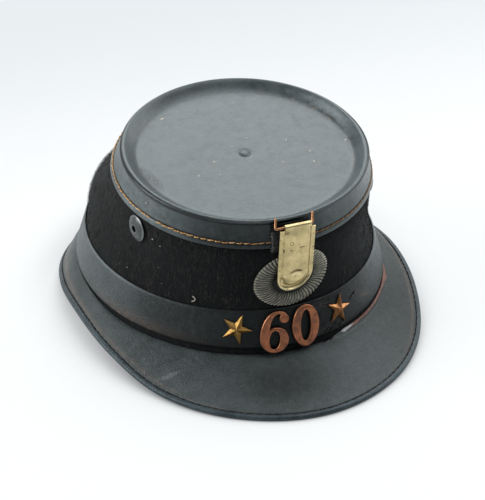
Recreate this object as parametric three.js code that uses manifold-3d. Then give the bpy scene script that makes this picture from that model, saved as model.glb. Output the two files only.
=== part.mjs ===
// A field shako: felt crown with a leather top, band and brim, and metal ornaments on the front.
// Millimetres, +Z up. The front faces -Y, and the origin is on the floor under the middle of the hat.
// Inside the file, heights count from the band's lower edge and Y from the middle of the band.
import * as THREE from 'three';
import { mergeVertices } from 'three/addons/utils/BufferGeometryUtils.js';
import Module from 'manifold-3d';

const wasm = await Module();
wasm.setup();

const { degToRad, lerp } = THREE.MathUtils;

// Driving dimensions
const gap = 0.3; // clearance between neighbouring pieces
const hoopSteps = 60; // facets round the head
const feltThickness = 2.6;
const bandThickness = 1.2;
const brimThickness = 2;
const restLevel = -19.3; // where the brim's edge lies pressed on the floor

// Leather top: an oval lathe form that leans forward
const topCentre = { y: -25.7, z: 80 };
const topFall = 8.2; // degrees
const topOval = 0.955; // length over width
const backFlare = 5.2; // extra reach of the skirt's edge at the back, where the felt slopes

// Felt wall, outer face, as oval rings: height of the middle, half width, front, back, fall forward
const wallRows = [
  { place: 'foot', z: -5.5, halfWidth: 83.6, front: -98.4, back: 98.4, fall: 0 },
  { place: 'bandFoot', z: 0, halfWidth: 83.6, front: -98.4, back: 98.4, fall: 0 },
  { place: 'bandTop', z: 18.9, halfWidth: 78.2, front: -92.8, back: 93, fall: -0.8 },
  { place: 'low', z: 30.8, halfWidth: 75.6, front: -91.4, back: 93.5, fall: 2 },
  { place: 'middle', z: 42.8, halfWidth: 72.6, front: -90.4, back: 76, fall: 3.9 },
  { place: 'high', z: 54.7, halfWidth: 70.5, front: -89.7, back: 55.5, fall: 5.9 },
  topRing('skirtFoot', 69.1, -14.4, 1),
  topRing('top', 65.5, -5.6, 0.25),
];
const bandFootLevel = 1;
const bandTopLevel = 2;

// Half section of the leather top: from the boss out, over the bead, down the skirt and back inside.
// Rows with a flare take that share of the extra reach at the back.
const topProfile = [
  { place: 'boss crown', r: 0, z: -2.4 },
  { place: 'boss shoulder', r: 2, z: -2.8 },
  { place: 'boss groove', r: 3.2, z: -4 },
  { place: 'floor, inner', r: 4.4, z: -3.4 },
  { place: 'floor, outer', r: 56.5, z: -3.4 },
  { place: 'cove foot', r: 59.8, z: -2.7 },
  { place: 'cove', r: 62.2, z: -0.5 },
  { place: 'bead, inner', r: 63.7, z: 1.4 },
  { place: 'bead crest', r: 65.5, z: 2.1 },
  { place: 'bead shoulder', r: 67.1, z: 1.4 },
  { place: 'bead, outer', r: 67.7, z: -0.2 },
  { place: 'neck', r: 67.2, z: -2.2 },
  { place: 'skirt, upper', r: 67.7, z: -5, flare: 0.25 },
  { place: 'skirt edge, outer', r: 71.5, z: -14.4, flare: 1 },
  { place: 'skirt edge, inner', r: 69.6, z: -14.4, flare: 1 },
  { place: 'skirt lining, upper', r: 65.9, z: -4.6, flare: 0.25 },
  { place: 'bead hollow, outer', r: 65.5, z: -0.8 },
  { place: 'bead hollow, top', r: 64.6, z: -0.2 },
  { place: 'cove, under', r: 61.2, z: -4.2 },
  { place: 'floor, under', r: 57, z: -5.2 },
  { place: 'centre, under', r: 0, z: -5.2 },
];

// Brim edge by angle from the front: reach outwards from the band's lower edge, and drop below it
const brimRows = [
  { angle: 0, out: 41, drop: 18.7 },
  { angle: 20, out: 36.5, drop: 18.7 },
  { angle: 40, out: 28, drop: 17.2 },
  { angle: 60, out: 18.6, drop: 10.8 },
  { angle: 80, out: 12.4, drop: 7.6 },
  { angle: 100, out: 10.2, drop: 11.5 },
  { angle: 120, out: 9, drop: 16.8 },
  { angle: 140, out: 6, drop: 18.6 },
  { angle: 160, out: 5.4, drop: 19.2 },
  { angle: 180, out: 5.4, drop: 19.4 },
];
const brimRootHeight = -4.5; // middle of the leather where the brim meets the felt
const brimEdgeDip = 5; // degrees that the edge bends below the straight line from root to tip
const paredThickness = 1.2; // brim leather inside the binding
const paredFrom = 4.6; // paring starts and ends this far in from the binding's tip
const paredTo = 3.9;
const bindingThickness = 0.9;
const bindingLeg = 3.6; // width of the folded strip on each side

// Ornaments that lie on the band: angle from the front, height on the band from 0 to 1, turn in degrees
const numeralRows = [
  { name: 'numeral_left', digit: 'six', angle: -7.4, rise: 0.43, turn: -8 },
  { name: 'numeral_right', digit: 'nought', angle: 4.3, rise: 0.46, turn: -7 },
];
const starRows = [
  { name: 'star_left', angle: -21.1, rise: 0.53, turn: -28 },
  { name: 'star_right', angle: 20, rise: 0.52, turn: -18 },
];
const numeral = { width: 15.6, height: 23, depth: 1.2, bevel: 0.5 };
const star = { tipRadius: 8.7, notchRadius: 3.4, rim: 0.5, peak: 2.7, points: 5 };

// Ornaments on the felt: level counts rows of the wall table from its foot
const ventRows = [
  { name: 'vent_left', angle: -71, level: 5.06 },
  { name: 'vent_right', angle: 75, level: 5.06 },
];
const vent = { radius: 7.3, holeRadius: 1.5, shankRadius: 2.7, flangeRadius: 4.2 };
const ventReach = 0.8; // levels of the wall that a vent covers above and below
const cockade = { angle: 1.2, level: 3.9, turn: 12, halfWidth: 21.2, halfHeight: 14.9 };
const cockadeRibs = { count: 48, height: 0.45 };
const cockadeReach = 1.6; // levels of the wall that the cockade covers above and below
const cockadeBend = 66; // radius of the felt wall behind the cockade

// Front plate, hung from a wire staple in the bead
const wire = {
  radius: 0.85,
  shift: 1.2,
  halfSpan: 10.3,
  barY: -92.7,
  barZ: 68.3,
  entryY: -87.4,
  entryZ: 71,
  elbow: 2, // length of the bend at the top of each leg
  bend: 1.3, // radius of the bend from leg to bar
};
const plate = { halfWidth: 9.9, shift: 1.4, top: -2, straightTo: -28.4, bottom: -37.4, thickness: 0.9 };
const barrel = { radius: 1.7, from: -3.9, to: 10.2 };
const plateBorder = 2.4;
const fieldRise = 0.7;
const fieldBevel = 0.5;
const fieldDepth = 0.1; // straight part of the field's edge, sunk in the sheet
const plateBump = { halfWidth: 5, halfHeight: 2.4, rise: 1.3, height: -29.3 };

// Leather tab behind the plate: back face at each height, and its half width
const tabRows = [
  { z: 68.6, back: -89.3 },
  { z: 66.4, back: -89.4 },
  { z: 55.8, back: -91.8 },
  { z: 54.9, back: -90.3 },
  { z: 53.9, back: -90 },
];
const tab = { shift: 0.1, halfWidth: 10.3, thickness: 1.2, columns: 6, bend: 68, footArch: 1.5 };

const finishes = {
  felt: { color: 0x16130f, roughness: 0.95, metalness: 0 },
  leather: { color: 0x2b2d2f, roughness: 0.5, metalness: 0 },
  topLeather: { color: 0x3a3d40, roughness: 0.45, metalness: 0 },
  paint: { color: 0x33373a, roughness: 0.4, metalness: 0.2 },
  bronze: { color: 0x4a4538, roughness: 0.55, metalness: 0.6 },
  brass: { color: 0xc8b27c, roughness: 0.4, metalness: 0.9 },
  starBrass: { color: 0xb48c3e, roughness: 0.45, metalness: 0.9 },
  copper: { color: 0xb06648, roughness: 0.45, metalness: 0.9 },
};

// Merge shared corners, drop collapsed triangles and turn the faces outwards
function closed(geometry) {
  const bare = geometry.clone();
  for (const name of Object.keys(bare.attributes)) {
    if (name !== 'position') bare.deleteAttribute(name);
  }
  const merged = mergeVertices(bare);
  const { position } = merged.attributes;
  const corners = [0, 1, 2].map(() => new THREE.Vector3());
  const triangles = [];
  let volume = 0;
  for (let i = 0; i < merged.index.count; i += 3) {
    const [a, b, c] = [0, 1, 2].map((k) => merged.index.getX(i + k));
    if (a === b || b === c || c === a) continue;
    triangles.push([a, b, c]);
    [a, b, c].forEach((vertex, k) => corners[k].fromBufferAttribute(position, vertex));
    volume += corners[0].dot(corners[1].clone().cross(corners[2]));
  }
  merged.setIndex(triangles.flatMap(([a, b, c]) => (volume < 0 ? [a, c, b] : [a, b, c])));
  merged.computeVertexNormals();
  return merged;
}

function toSolid(geometry) {
  const { index, attributes } = closed(geometry);
  return new wasm.Manifold(new wasm.Mesh({
    numProp: 3,
    vertProperties: new Float32Array(attributes.position.array),
    triVerts: new Uint32Array(index.array),
  }));
}

function fromSolid(solid) {
  const mesh = solid.getMesh();
  const geometry = new THREE.BufferGeometry();
  const positions = new THREE.BufferAttribute(mesh.vertProperties.slice(), mesh.numProp);
  geometry.setAttribute('position', positions);
  geometry.setIndex(Array.from(mesh.triVerts));
  return geometry;
}

function cut(geometry, tools) {
  return fromSolid(tools.map(toSolid).reduce((body, tool) => body.subtract(tool), toSolid(geometry)));
}

function join(geometries) {
  return fromSolid(geometries.map(toSolid).reduce((body, other) => body.add(other)));
}

// Move every corner of a geometry
function deform(geometry, place) {
  const { position } = geometry.attributes;
  const corner = new THREE.Vector3();
  for (let i = 0; i < position.count; i++) {
    place(corner.fromBufferAttribute(position, i), i);
    position.setXYZ(i, corner.x, corner.y, corner.z);
  }
  return geometry;
}

function lathe(profile, steps) {
  const points = profile.map(({ r, z }) => new THREE.Vector2(r, z));
  return new THREE.LatheGeometry(points, steps).rotateX(Math.PI / 2);
}

// Closed wall through section polygons set all round the head
function hoop(sectionAt) {
  const sections = [];
  for (let step = 0; step < hoopSteps; step++) {
    sections.push(sectionAt((2 * Math.PI * step) / hoopSteps));
  }
  const count = sections[0].length;
  const indices = [];
  for (let step = 0; step < hoopSteps; step++) {
    const next = (step + 1) % hoopSteps;
    for (let k = 0; k < count; k++) {
      const after = (k + 1) % count;
      const quad = [step * count + k, step * count + after, next * count + after, next * count + k];
      indices.push(quad[0], quad[1], quad[2], quad[0], quad[2], quad[3]);
    }
  }
  const geometry = new THREE.BufferGeometry().setFromPoints(sections.flat());
  geometry.setIndex(indices);
  return geometry;
}

function piece(name, geometry, finish) {
  const mesh = new THREE.Mesh(closed(geometry), new THREE.MeshStandardMaterial(finishes[finish]));
  mesh.name = name;
  return mesh;
}

// Wall ring that lies in the leather top's own leaning frame
function topRing(place, halfWidth, height, flare) {
  const lean = degToRad(topFall);
  const setBack = (flare * backFlare) / 2;
  const y = topCentre.y - height * Math.sin(lean) + setBack * Math.cos(lean);
  const z = topCentre.z + height * Math.cos(lean) + setBack * Math.sin(lean);
  const halfLength = (halfWidth * topOval + setBack) * Math.cos(lean);
  return { place, z, halfWidth, front: y - halfLength, back: y + halfLength, fall: topFall };
}

// Point on an oval ring of the wall table, moved outwards by a small distance
function ringPoint(row, angle, outset = 0) {
  const middle = (row.front + row.back) / 2;
  const y = middle - ((row.back - row.front) / 2 + outset) * Math.cos(angle);
  const z = row.z + (y - middle) * Math.tan(degToRad(row.fall));
  return new THREE.Vector3((row.halfWidth + outset) * Math.sin(angle), y, z);
}

// Point on the felt's outer face, at a level that may lie between two rows
function wallPoint(angle, level, outset = 0) {
  const row = Math.min(Math.floor(level), wallRows.length - 2);
  const lower = ringPoint(wallRows[row], angle, outset);
  return lower.lerp(ringPoint(wallRows[row + 1], angle, outset), level - row);
}

function bandPoint(angle, rise) {
  return wallPoint(angle, lerp(bandFootLevel, bandTopLevel, rise), gap + bandThickness);
}

// Group that stands on a surface: X along it, Y up it, Z out of it, a clearance away.
// Its lean follows the chord of the surface over the reach above and below.
function seatOn(surface, angle, height, reach = 0.01) {
  const step = 0.01;
  const point = surface(angle, height);
  const along = surface(angle + step, height).sub(surface(angle - step, height)).normalize();
  const up = surface(angle, height + reach).sub(surface(angle, height - reach));
  const out = along.clone().cross(up).normalize();
  const seat = new THREE.Group();
  seat.position.copy(point).addScaledVector(out, gap);
  seat.setRotationFromMatrix(new THREE.Matrix4().makeBasis(along, out.clone().cross(along), out));
  return seat;
}

function seatedPiece(seat, mesh, turn = 0) {
  mesh.rotation.z = degToRad(turn);
  seat.add(mesh);
  return seat;
}

// Felt crown: a wall of even thickness with a hole for each vent
function crownBody() {
  const wall = hoop((angle) => {
    const outer = wallRows.map((row) => ringPoint(row, angle));
    const inner = wallRows.map((row) => ringPoint(row, angle, -feltThickness));
    return [...outer, ...inner.reverse()];
  });
  const radius = vent.shankRadius + gap;
  const depth = 6 * feltThickness;
  const holes = ventRows.map((row) => {
    const seat = ventSeat(row);
    seat.updateMatrix();
    const hole = new THREE.CylinderGeometry(radius, radius, depth, 12);
    return hole.rotateX(Math.PI / 2).applyMatrix4(seat.matrix);
  });
  return piece('crown_body', cut(wall, holes), 'felt');
}

function ventSeat({ angle, level }) {
  return seatOn(wallPoint, degToRad(angle), level, ventReach);
}

// Domed ventilator on a tubular shank that is flared inside the felt
function ventPiece({ name }) {
  const inside = -feltThickness - 3 * gap;
  const profile = [
    { r: vent.holeRadius, z: 2.3 },
    { r: 4.2, z: 2 },
    { r: 6.2, z: 1.1 },
    { r: vent.radius, z: 0.5 },
    { r: vent.radius - 0.4, z: 0.2 },
    { r: vent.shankRadius, z: 0.2 },
    { r: vent.shankRadius, z: inside },
    { r: vent.flangeRadius, z: inside },
    { r: vent.flangeRadius, z: inside - 0.6 },
    { r: vent.holeRadius, z: inside - 0.6 },
  ];
  return piece(name, lathe([...profile, profile[0]], 16), 'paint');
}

// Leather top: dished floor with a small boss, rolled bead and skirt, pierced for the wire's ends
function crownTop() {
  const form = deform(lathe(topProfile, hoopSteps), (corner, index) => {
    const { r, flare = 0 } = topProfile[index % topProfile.length];
    corner.y *= topOval;
    if (flare) corner.y += (flare * backFlare * (1 + corner.y / (r * topOval))) / 2;
  });
  form.rotateX(degToRad(topFall)).translate(0, topCentre.y, topCentre.z);
  const radius = wire.radius + gap;
  const depth = 4;
  const holes = [-1, 1].map((side) => {
    const hole = new THREE.CylinderGeometry(radius, radius, depth, 10);
    return hole.translate(wire.shift + side * wire.halfSpan, wire.entryY + gap - depth / 2, wire.entryZ);
  });
  return piece('crown_top', cut(form, holes), 'topLeather');
}

function headBand() {
  const edge = 0.5; // chamfer along the outer corners
  return piece('head_band', hoop((angle) => {
    const [foot, top] = [wallRows[bandFootLevel], wallRows[bandTopLevel]];
    const outer = gap + bandThickness;
    return [
      ringPoint(foot, angle, gap),
      ringPoint(foot, angle, outer - edge),
      ringPoint(foot, angle, outer).add(new THREE.Vector3(0, 0, edge)),
      ringPoint(top, angle, outer).add(new THREE.Vector3(0, 0, -edge)),
      ringPoint(top, angle, outer - edge),
      ringPoint(top, angle, gap),
    ];
  }), 'leather');
}

const brimEdge = new THREE.CubicInterpolant(
  brimRows.map(({ angle }) => degToRad(angle)),
  brimRows.flatMap(({ out, drop }) => [out, drop]),
  2,
  new Float64Array(2),
);
brimEdge.settings = { endingStart: THREE.ZeroSlopeEnding, endingEnd: THREE.ZeroSlopeEnding };

// Line of the brim at one angle, as distance out from the band's foot against height
function brimLine(angle) {
  const fromFront = Math.min(angle, 2 * Math.PI - angle);
  const [out, drop] = brimEdge.evaluate(fromFront);
  const root = new THREE.Vector2(-bandThickness, brimRootHeight);
  const tip = new THREE.Vector2(out, -drop);
  const along = tip.clone().sub(root).normalize();
  along.rotateAround(new THREE.Vector2(), -degToRad(brimEdgeDip));
  const up = new THREE.Vector2(-along.y, along.x);
  const at = (inwards, above) => tip.clone().addScaledVector(along, -inwards).addScaledVector(up, above);
  const middle = at(paredFrom, 0).add(root).multiplyScalar(0.5);
  const crown = (Math.sin(degToRad(brimEdgeDip)) * root.distanceTo(tip)) / 4;
  middle.addScaledVector(up, crown);
  return { root, middle, up, at };
}

// Section points in the upright plane through the band's foot at one angle
function inBrimPlane(angle, points) {
  const row = wallRows[bandFootLevel];
  const foot = ringPoint(row, angle, gap + bandThickness);
  const halfLength = (row.back - row.front) / 2;
  const outward = new THREE.Vector3(halfLength * Math.sin(angle), -row.halfWidth * Math.cos(angle), 0);
  outward.normalize();
  return points.map(({ x, y }) => foot.clone().addScaledVector(outward, x).setZ(y));
}

function brim() {
  const half = brimThickness / 2;
  const pared = paredThickness / 2;
  const tipInset = bindingThickness + gap;
  return piece('brim', hoop((angle) => {
    const { root, middle, up, at } = brimLine(angle);
    const side = (sign) => [
      new THREE.Vector2(root.x, root.y + sign * half),
      middle.clone().addScaledVector(up, sign * half),
      at(paredFrom, sign * half),
      at(paredTo, sign * pared),
      at(tipInset, sign * pared),
    ];
    return inBrimPlane(angle, [...side(1), ...side(-1).reverse()]);
  }), 'leather');
}

// Strip folded over the brim's edge, pressed flat where the hat rests
function brimBinding() {
  const inner = paredThickness / 2 + gap;
  const outer = inner + bindingThickness;
  const curve = outer * Math.SQRT1_2;
  const strip = hoop((angle) => {
    const { at } = brimLine(angle);
    const half = [
      { inwards: bindingThickness, above: inner },
      { inwards: bindingLeg, above: inner },
      { inwards: bindingLeg, above: outer },
      { inwards: outer, above: outer },
      { inwards: outer - curve, above: curve },
    ];
    const upper = half.map(({ inwards, above }) => at(inwards, above));
    const lower = half.map(({ inwards, above }) => at(inwards, -above));
    return inBrimPlane(angle, [...upper, at(0, 0), ...lower.reverse()]);
  });
  const floorSize = 400; // wider than the hat
  const floor = new THREE.BoxGeometry(floorSize, floorSize, floorSize);
  floor.translate(0, 0, restLevel - floorSize / 2);
  return piece('brim_binding', cut(strip, [floor]), 'leather');
}

// Oval rosette with radial ribs, bent to the curve of the felt
function cockadePiece() {
  const profile = [
    { r: 0, z: 0.7 },
    { r: 0.48, z: 0.8 },
    { r: 0.62, z: 1.2 },
    { r: 0.85, z: 1.5 },
    { r: 1, z: 0.8 },
    { r: 0.97, z: 0.3 },
    { r: 0.5, z: 0.3 },
    { r: 0, z: 0.3 },
  ];
  const ribFrom = 0.4; // share of the radius where the ribs start
  const faceFrom = 0.5; // corners above this height belong to the front
  const turn = degToRad(cockade.turn);
  const disc = deform(lathe(profile, 2 * cockadeRibs.count), (corner) => {
    const radius = Math.hypot(corner.x, corner.y);
    const rib = Math.cos(cockadeRibs.count * Math.atan2(corner.y, corner.x));
    if (corner.z > faceFrom && radius > ribFrom) corner.z += (cockadeRibs.height / 2) * rib;
    corner.x *= cockade.halfWidth;
    corner.y *= cockade.halfHeight;
    const across = corner.x * Math.cos(turn) - corner.y * Math.sin(turn);
    corner.z -= across ** 2 / (2 * cockadeBend);
  });
  return piece('cockade', disc, 'bronze');
}

// Plain numerals with thick sides and narrow counters, about their own middle
const numeralShapes = {
  nought(w, h) {
    const shape = new THREE.Shape().absellipse(0, 0, w, h, 0, 2 * Math.PI);
    shape.holes.push(new THREE.Path().absellipse(0, 0, 0.38 * w, 0.74 * h, 0, 2 * Math.PI));
    return shape;
  },
  six(w, h) {
    const ball = { x: 0.55 * w, y: 0.66 * h, r: 0.32 * w };
    const ballEnd = degToRad(60);
    const shape = new THREE.Shape();
    shape.moveTo(0, -h);
    shape.bezierCurveTo(0.6 * w, -h, w, -0.72 * h, w, -0.37 * h);
    shape.bezierCurveTo(w, -0.02 * h, 0.62 * w, 0.22 * h, 0.18 * w, 0.22 * h);
    shape.bezierCurveTo(-0.08 * w, 0.22 * h, -0.26 * w, 0.16 * h, -0.38 * w, 0.06 * h);
    shape.bezierCurveTo(-0.38 * w, 0.48 * h, -0.2 * w, 0.86 * h, 0.2 * w, 0.87 * h);
    shape.absarc(ball.x, ball.y, ball.r, degToRad(140), ballEnd + 2 * Math.PI);
    shape.bezierCurveTo(0.6 * w, 0.95 * h, 0.42 * w, h, 0.2 * w, h);
    shape.bezierCurveTo(-0.54 * w, h, -w, 0.45 * h, -w, -0.22 * h);
    shape.bezierCurveTo(-w, -0.7 * h, -0.56 * w, -h, 0, -h);
    const counter = new THREE.Path().absellipse(0.03 * w, -0.39 * h, 0.37 * w, 0.44 * h, 0, 2 * Math.PI);
    shape.holes.push(counter);
    return shape;
  },
};

function numeralPiece({ name, digit }) {
  const { width, height, depth, bevel } = numeral;
  const solid = new THREE.ExtrudeGeometry(numeralShapes[digit](width / 2, height / 2), {
    depth,
    curveSegments: digit === 'nought' ? 14 : 5,
    bevelSize: bevel,
    bevelOffset: -bevel,
    bevelThickness: bevel,
    bevelSegments: 1,
  });
  return piece(name, solid.translate(0, 0, bevel), 'copper');
}

// Five-point star with a ridge along each ray
function starPiece({ name }) {
  const profile = [
    { r: 0, z: 0 },
    { r: star.tipRadius, z: 0 },
    { r: star.tipRadius, z: star.rim },
    { r: 0, z: star.peak },
  ];
  const step = Math.PI / star.points;
  const form = deform(lathe(profile, 2 * star.points), (corner) => {
    const angle = Math.atan2(corner.x, corner.y);
    const notch = Math.round(angle / step) % 2 !== 0;
    const share = notch ? star.notchRadius / star.tipRadius : 1;
    corner.x *= share;
    corner.y *= share;
  });
  return piece(name, form, 'starBrass');
}

// Wire staple: in through the bead, out, down and along under the plate's rolled top
function wireLoop() {
  const { shift, halfSpan, barY, barZ, entryY, entryZ, radius, elbow, bend } = wire;
  const point = (side, x, y, z) => new THREE.Vector3(shift + side * x, y, z);
  const leg = (side) => ({
    end: point(side, halfSpan, entryY, entryZ),
    bend: point(side, halfSpan, barY + elbow, entryZ),
    corner: point(side, halfSpan, barY, entryZ),
    drop: point(side, halfSpan, barY, barZ + bend),
    turn: point(side, halfSpan, barY, barZ),
    bar: point(side, halfSpan - bend, barY, barZ),
  });
  const [left, right] = [leg(-1), leg(1)];
  const path = new THREE.CurvePath();
  path.add(new THREE.LineCurve3(left.end, left.bend));
  path.add(new THREE.QuadraticBezierCurve3(left.bend, left.corner, left.drop));
  path.add(new THREE.QuadraticBezierCurve3(left.drop, left.turn, left.bar));
  path.add(new THREE.LineCurve3(left.bar, right.bar));
  path.add(new THREE.QuadraticBezierCurve3(right.bar, right.turn, right.drop));
  path.add(new THREE.QuadraticBezierCurve3(right.drop, right.corner, right.bend));
  path.add(new THREE.LineCurve3(right.bend, right.end));
  const section = new THREE.Shape().absarc(0, 0, radius, 0, 2 * Math.PI);
  const tube = new THREE.ExtrudeGeometry(section, { extrudePath: path, steps: 28, curveSegments: 4 });
  return piece('wire_loop', tube, 'copper');
}

// Leather tab that runs down from the bead and stops round the top of the cockade
function plumeTab() {
  const face = (forwards) => tabRows.map(({ z, back }, row) => {
    const columns = [];
    for (let column = 0; column <= tab.columns; column++) {
      const across = (2 * column) / tab.columns - 1;
      const x = across * tab.halfWidth;
      const arch = row === tabRows.length - 1 ? tab.footArch * across ** 2 : 0;
      const bow = x ** 2 / (2 * tab.bend);
      columns.push(new THREE.Vector3(tab.shift + x, back - forwards + bow, z - arch));
    }
    return columns;
  });
  const [front, back] = [face(tab.thickness), face(0)];
  const points = front.map((row, k) => [...row, ...back[k].toReversed()]);
  const count = points[0].length;
  const indices = [];
  const quad = (a, b, c, d) => indices.push(a, b, c, a, c, d);
  for (let row = 0; row + 1 < points.length; row++) {
    for (let k = 0; k < count; k++) {
      const after = (k + 1) % count;
      quad(row * count + k, row * count + after, (row + 1) * count + after, (row + 1) * count + k);
    }
  }
  const last = (points.length - 1) * count;
  for (let k = 0; k < tab.columns; k++) {
    quad(k + 1, k, count - 1 - k, count - 2 - k);
    quad(last + k, last + k + 1, last + count - 2 - k, last + count - 1 - k);
  }
  const geometry = new THREE.BufferGeometry().setFromPoints(points.flat());
  geometry.setIndex(indices);
  return piece('plume_tab', geometry, 'leather');
}

// Plate outline, drawn in from its border by an inset
function plateOutline(inset) {
  const { shift, straightTo } = plate;
  const half = plate.halfWidth - inset;
  const foot = straightTo - plate.bottom - inset;
  const shape = new THREE.Shape();
  shape.moveTo(shift - half, plate.top - inset);
  shape.lineTo(shift - half, straightTo);
  shape.absellipse(shift, straightTo, half, foot, Math.PI, 2 * Math.PI);
  shape.lineTo(shift + half, plate.top - inset);
  return shape;
}

// Brass plate about the bar's axis: flat border, raised field with a bump, and a rolled top on the wire
function platePiece() {
  const back = barrel.radius - plate.thickness;
  const sheet = new THREE.ExtrudeGeometry(plateOutline(0), {
    depth: plate.thickness,
    bevelEnabled: false,
  }).translate(0, 0, back);
  const field = new THREE.ExtrudeGeometry(plateOutline(plateBorder), {
    depth: fieldDepth,
    bevelSize: fieldBevel,
    bevelOffset: -fieldBevel,
    bevelThickness: fieldRise,
    bevelSegments: 1,
  }).translate(0, 0, barrel.radius - fieldDepth);
  const bump = new THREE.SphereGeometry(1, 12, 8);
  bump.scale(plateBump.halfWidth, plateBump.halfHeight, plateBump.rise);
  bump.translate(plate.shift, plateBump.height, barrel.radius);
  const length = barrel.to - barrel.from;
  const middle = (barrel.from + barrel.to) / 2;
  const roll = new THREE.CylinderGeometry(barrel.radius, barrel.radius, length, 16);
  const neck = new THREE.BoxGeometry(length, -plate.top + 0.5, plate.thickness);
  neck.translate(middle, (plate.top - 0.5) / 2, barrel.radius - plate.thickness / 2);
  const bore = new THREE.CylinderGeometry(wire.radius + gap, wire.radius + gap, length + 2, 16);
  roll.rotateZ(Math.PI / 2).translate(middle, 0, 0);
  bore.rotateZ(Math.PI / 2).translate(middle, 0, 0);
  const mesh = piece('plate', cut(join([sheet, field, bump, roll, neck]), [bore]), 'brass');
  mesh.position.set(0, wire.barY, wire.barZ);
  mesh.rotation.x = Math.PI / 2;
  return mesh;
}

const hat = new THREE.Group();
hat.add(crownBody(), crownTop(), headBand(), brim(), brimBinding());
hat.add(plumeTab(), wireLoop(), platePiece());
const cockadeSeat = seatOn(wallPoint, degToRad(cockade.angle), cockade.level, cockadeReach);
hat.add(seatedPiece(cockadeSeat, cockadePiece(), cockade.turn));
for (const row of ventRows) hat.add(seatedPiece(ventSeat(row), ventPiece(row)));
for (const row of numeralRows) {
  hat.add(seatedPiece(seatOn(bandPoint, degToRad(row.angle), row.rise), numeralPiece(row), row.turn));
}
for (const row of starRows) {
  hat.add(seatedPiece(seatOn(bandPoint, degToRad(row.angle), row.rise), starPiece(row), row.turn));
}

// Stand the hat on the floor with the middle of its box over the origin
const box = new THREE.Box3().setFromObject(hat);
hat.position.set(0, -(box.min.y + box.max.y) / 2, -box.min.z);

export default hat;
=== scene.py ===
import math

import bpy
import numpy as np
from mathutils import Matrix, Vector


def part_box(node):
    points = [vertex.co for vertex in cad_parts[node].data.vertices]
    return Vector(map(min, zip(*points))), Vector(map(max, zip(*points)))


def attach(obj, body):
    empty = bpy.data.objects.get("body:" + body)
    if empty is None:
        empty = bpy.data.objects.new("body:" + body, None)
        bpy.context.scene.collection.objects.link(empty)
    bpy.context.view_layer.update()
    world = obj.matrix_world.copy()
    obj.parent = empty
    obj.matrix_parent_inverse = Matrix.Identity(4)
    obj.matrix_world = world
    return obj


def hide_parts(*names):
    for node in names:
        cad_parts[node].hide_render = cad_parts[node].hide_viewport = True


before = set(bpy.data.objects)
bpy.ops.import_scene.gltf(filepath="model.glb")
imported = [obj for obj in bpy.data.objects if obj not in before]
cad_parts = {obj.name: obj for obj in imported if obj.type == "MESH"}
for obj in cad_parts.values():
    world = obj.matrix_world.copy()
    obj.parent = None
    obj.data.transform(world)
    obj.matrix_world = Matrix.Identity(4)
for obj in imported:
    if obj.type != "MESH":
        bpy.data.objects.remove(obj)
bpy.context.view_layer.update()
bandLow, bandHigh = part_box("head_band")
hatOrigin = Vector((0, (bandLow.y + bandHigh.y) / 2, bandLow.z))  # band's lower edge, middle of the hat
placing = Matrix.Translation(hatOrigin) @ Matrix.Scale(0.001, 4)  # pieces are modelled in millimetres
dice = np.random.default_rng(1860)
print("frame loaded, hat origin", [round(value, 5) for value in hatOrigin])


# Bench: selecting, ring by ring modelling, modifiers and placing

def deselect():
    if bpy.context.object and bpy.context.object.mode != "OBJECT":
        done()
    bpy.ops.object.select_all(action="DESELECT")


def edit():
    bpy.ops.object.mode_set(mode="EDIT")


def done():
    bpy.ops.object.mode_set(mode="OBJECT")


def only(piece):
    deselect()
    piece.select_set(True)
    bpy.context.view_layer.objects.active = piece


def named(name):
    piece = bpy.context.object
    piece.name = name
    piece.data.name = name
    return piece


def apply(piece, kind, **settings):
    only(piece)
    modifier = piece.modifiers.new(kind.lower(), kind)
    for key, value in settings.items():
        setattr(modifier, key, value)
    bpy.ops.object.modifier_apply(modifier=modifier.name)


def smooth(piece, levels):
    apply(piece, "SUBSURF", levels=levels, render_levels=levels)


def mergeUp(piece, capEnds=False):  # close seams, and open ends if asked, and turn faces outwards
    only(piece)
    edit()
    bpy.ops.mesh.select_all(action="SELECT")
    bpy.ops.mesh.remove_doubles(threshold=0.002)
    if capEnds:
        bpy.ops.mesh.fill_holes(sides=0)
    bpy.ops.mesh.normals_make_consistent(inside=False)
    done()


def dented(piece, name, size, depth):  # soft unevenness all over a piece
    clouds = bpy.data.textures.new(name, "CLOUDS")
    clouds.noise_scale = size
    apply(piece, "DISPLACE", texture=clouds, texture_coords="LOCAL", strength=depth, mid_level=0.5)


def hoop(wide, long, y=0.0, z=0.0, lean=0.0):  # one oval ring of a piece
    return {"wide": wide, "long": long, "y": y, "z": z, "lean": lean}


def shiftRing(last, ring):  # move the selected ring from its last size, lean and place to the next
    middle = (0, last["y"], last["z"])
    if last["lean"]:
        bpy.ops.transform.rotate(value=last["lean"], orient_axis="X", center_override=middle)
    share = (ring["wide"] / last["wide"], ring["long"] / last["long"], 1)
    bpy.ops.transform.resize(value=share, center_override=middle)
    if ring["lean"]:
        bpy.ops.transform.rotate(value=-ring["lean"], orient_axis="X", center_override=middle)
    bpy.ops.transform.translate(value=(0, ring["y"] - last["y"], ring["z"] - last["z"]))


def ringPiece(name, rings, sides, start=False, end=False):
    deselect()
    bpy.ops.mesh.primitive_circle_add(vertices=sides, radius=1)
    piece = named(name)
    edit()
    bpy.ops.mesh.select_all(action="SELECT")
    last = hoop(1, 1)
    for count, ring in enumerate(rings):
        if count:
            bpy.ops.mesh.extrude_region_move()
        shiftRing(last, ring)
        last = ring
    if end:  # pull the last ring together into one point
        bpy.ops.mesh.extrude_region_move()
        bpy.ops.mesh.merge(type="CENTER")
    done()
    if start:  # and the first ring
        for vertex in piece.data.vertices:
            vertex.select = vertex.index < sides
        edit()
        bpy.ops.mesh.extrude_region_move()
        bpy.ops.mesh.merge(type="CENTER")
        done()
    mergeUp(piece)
    return piece


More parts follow.
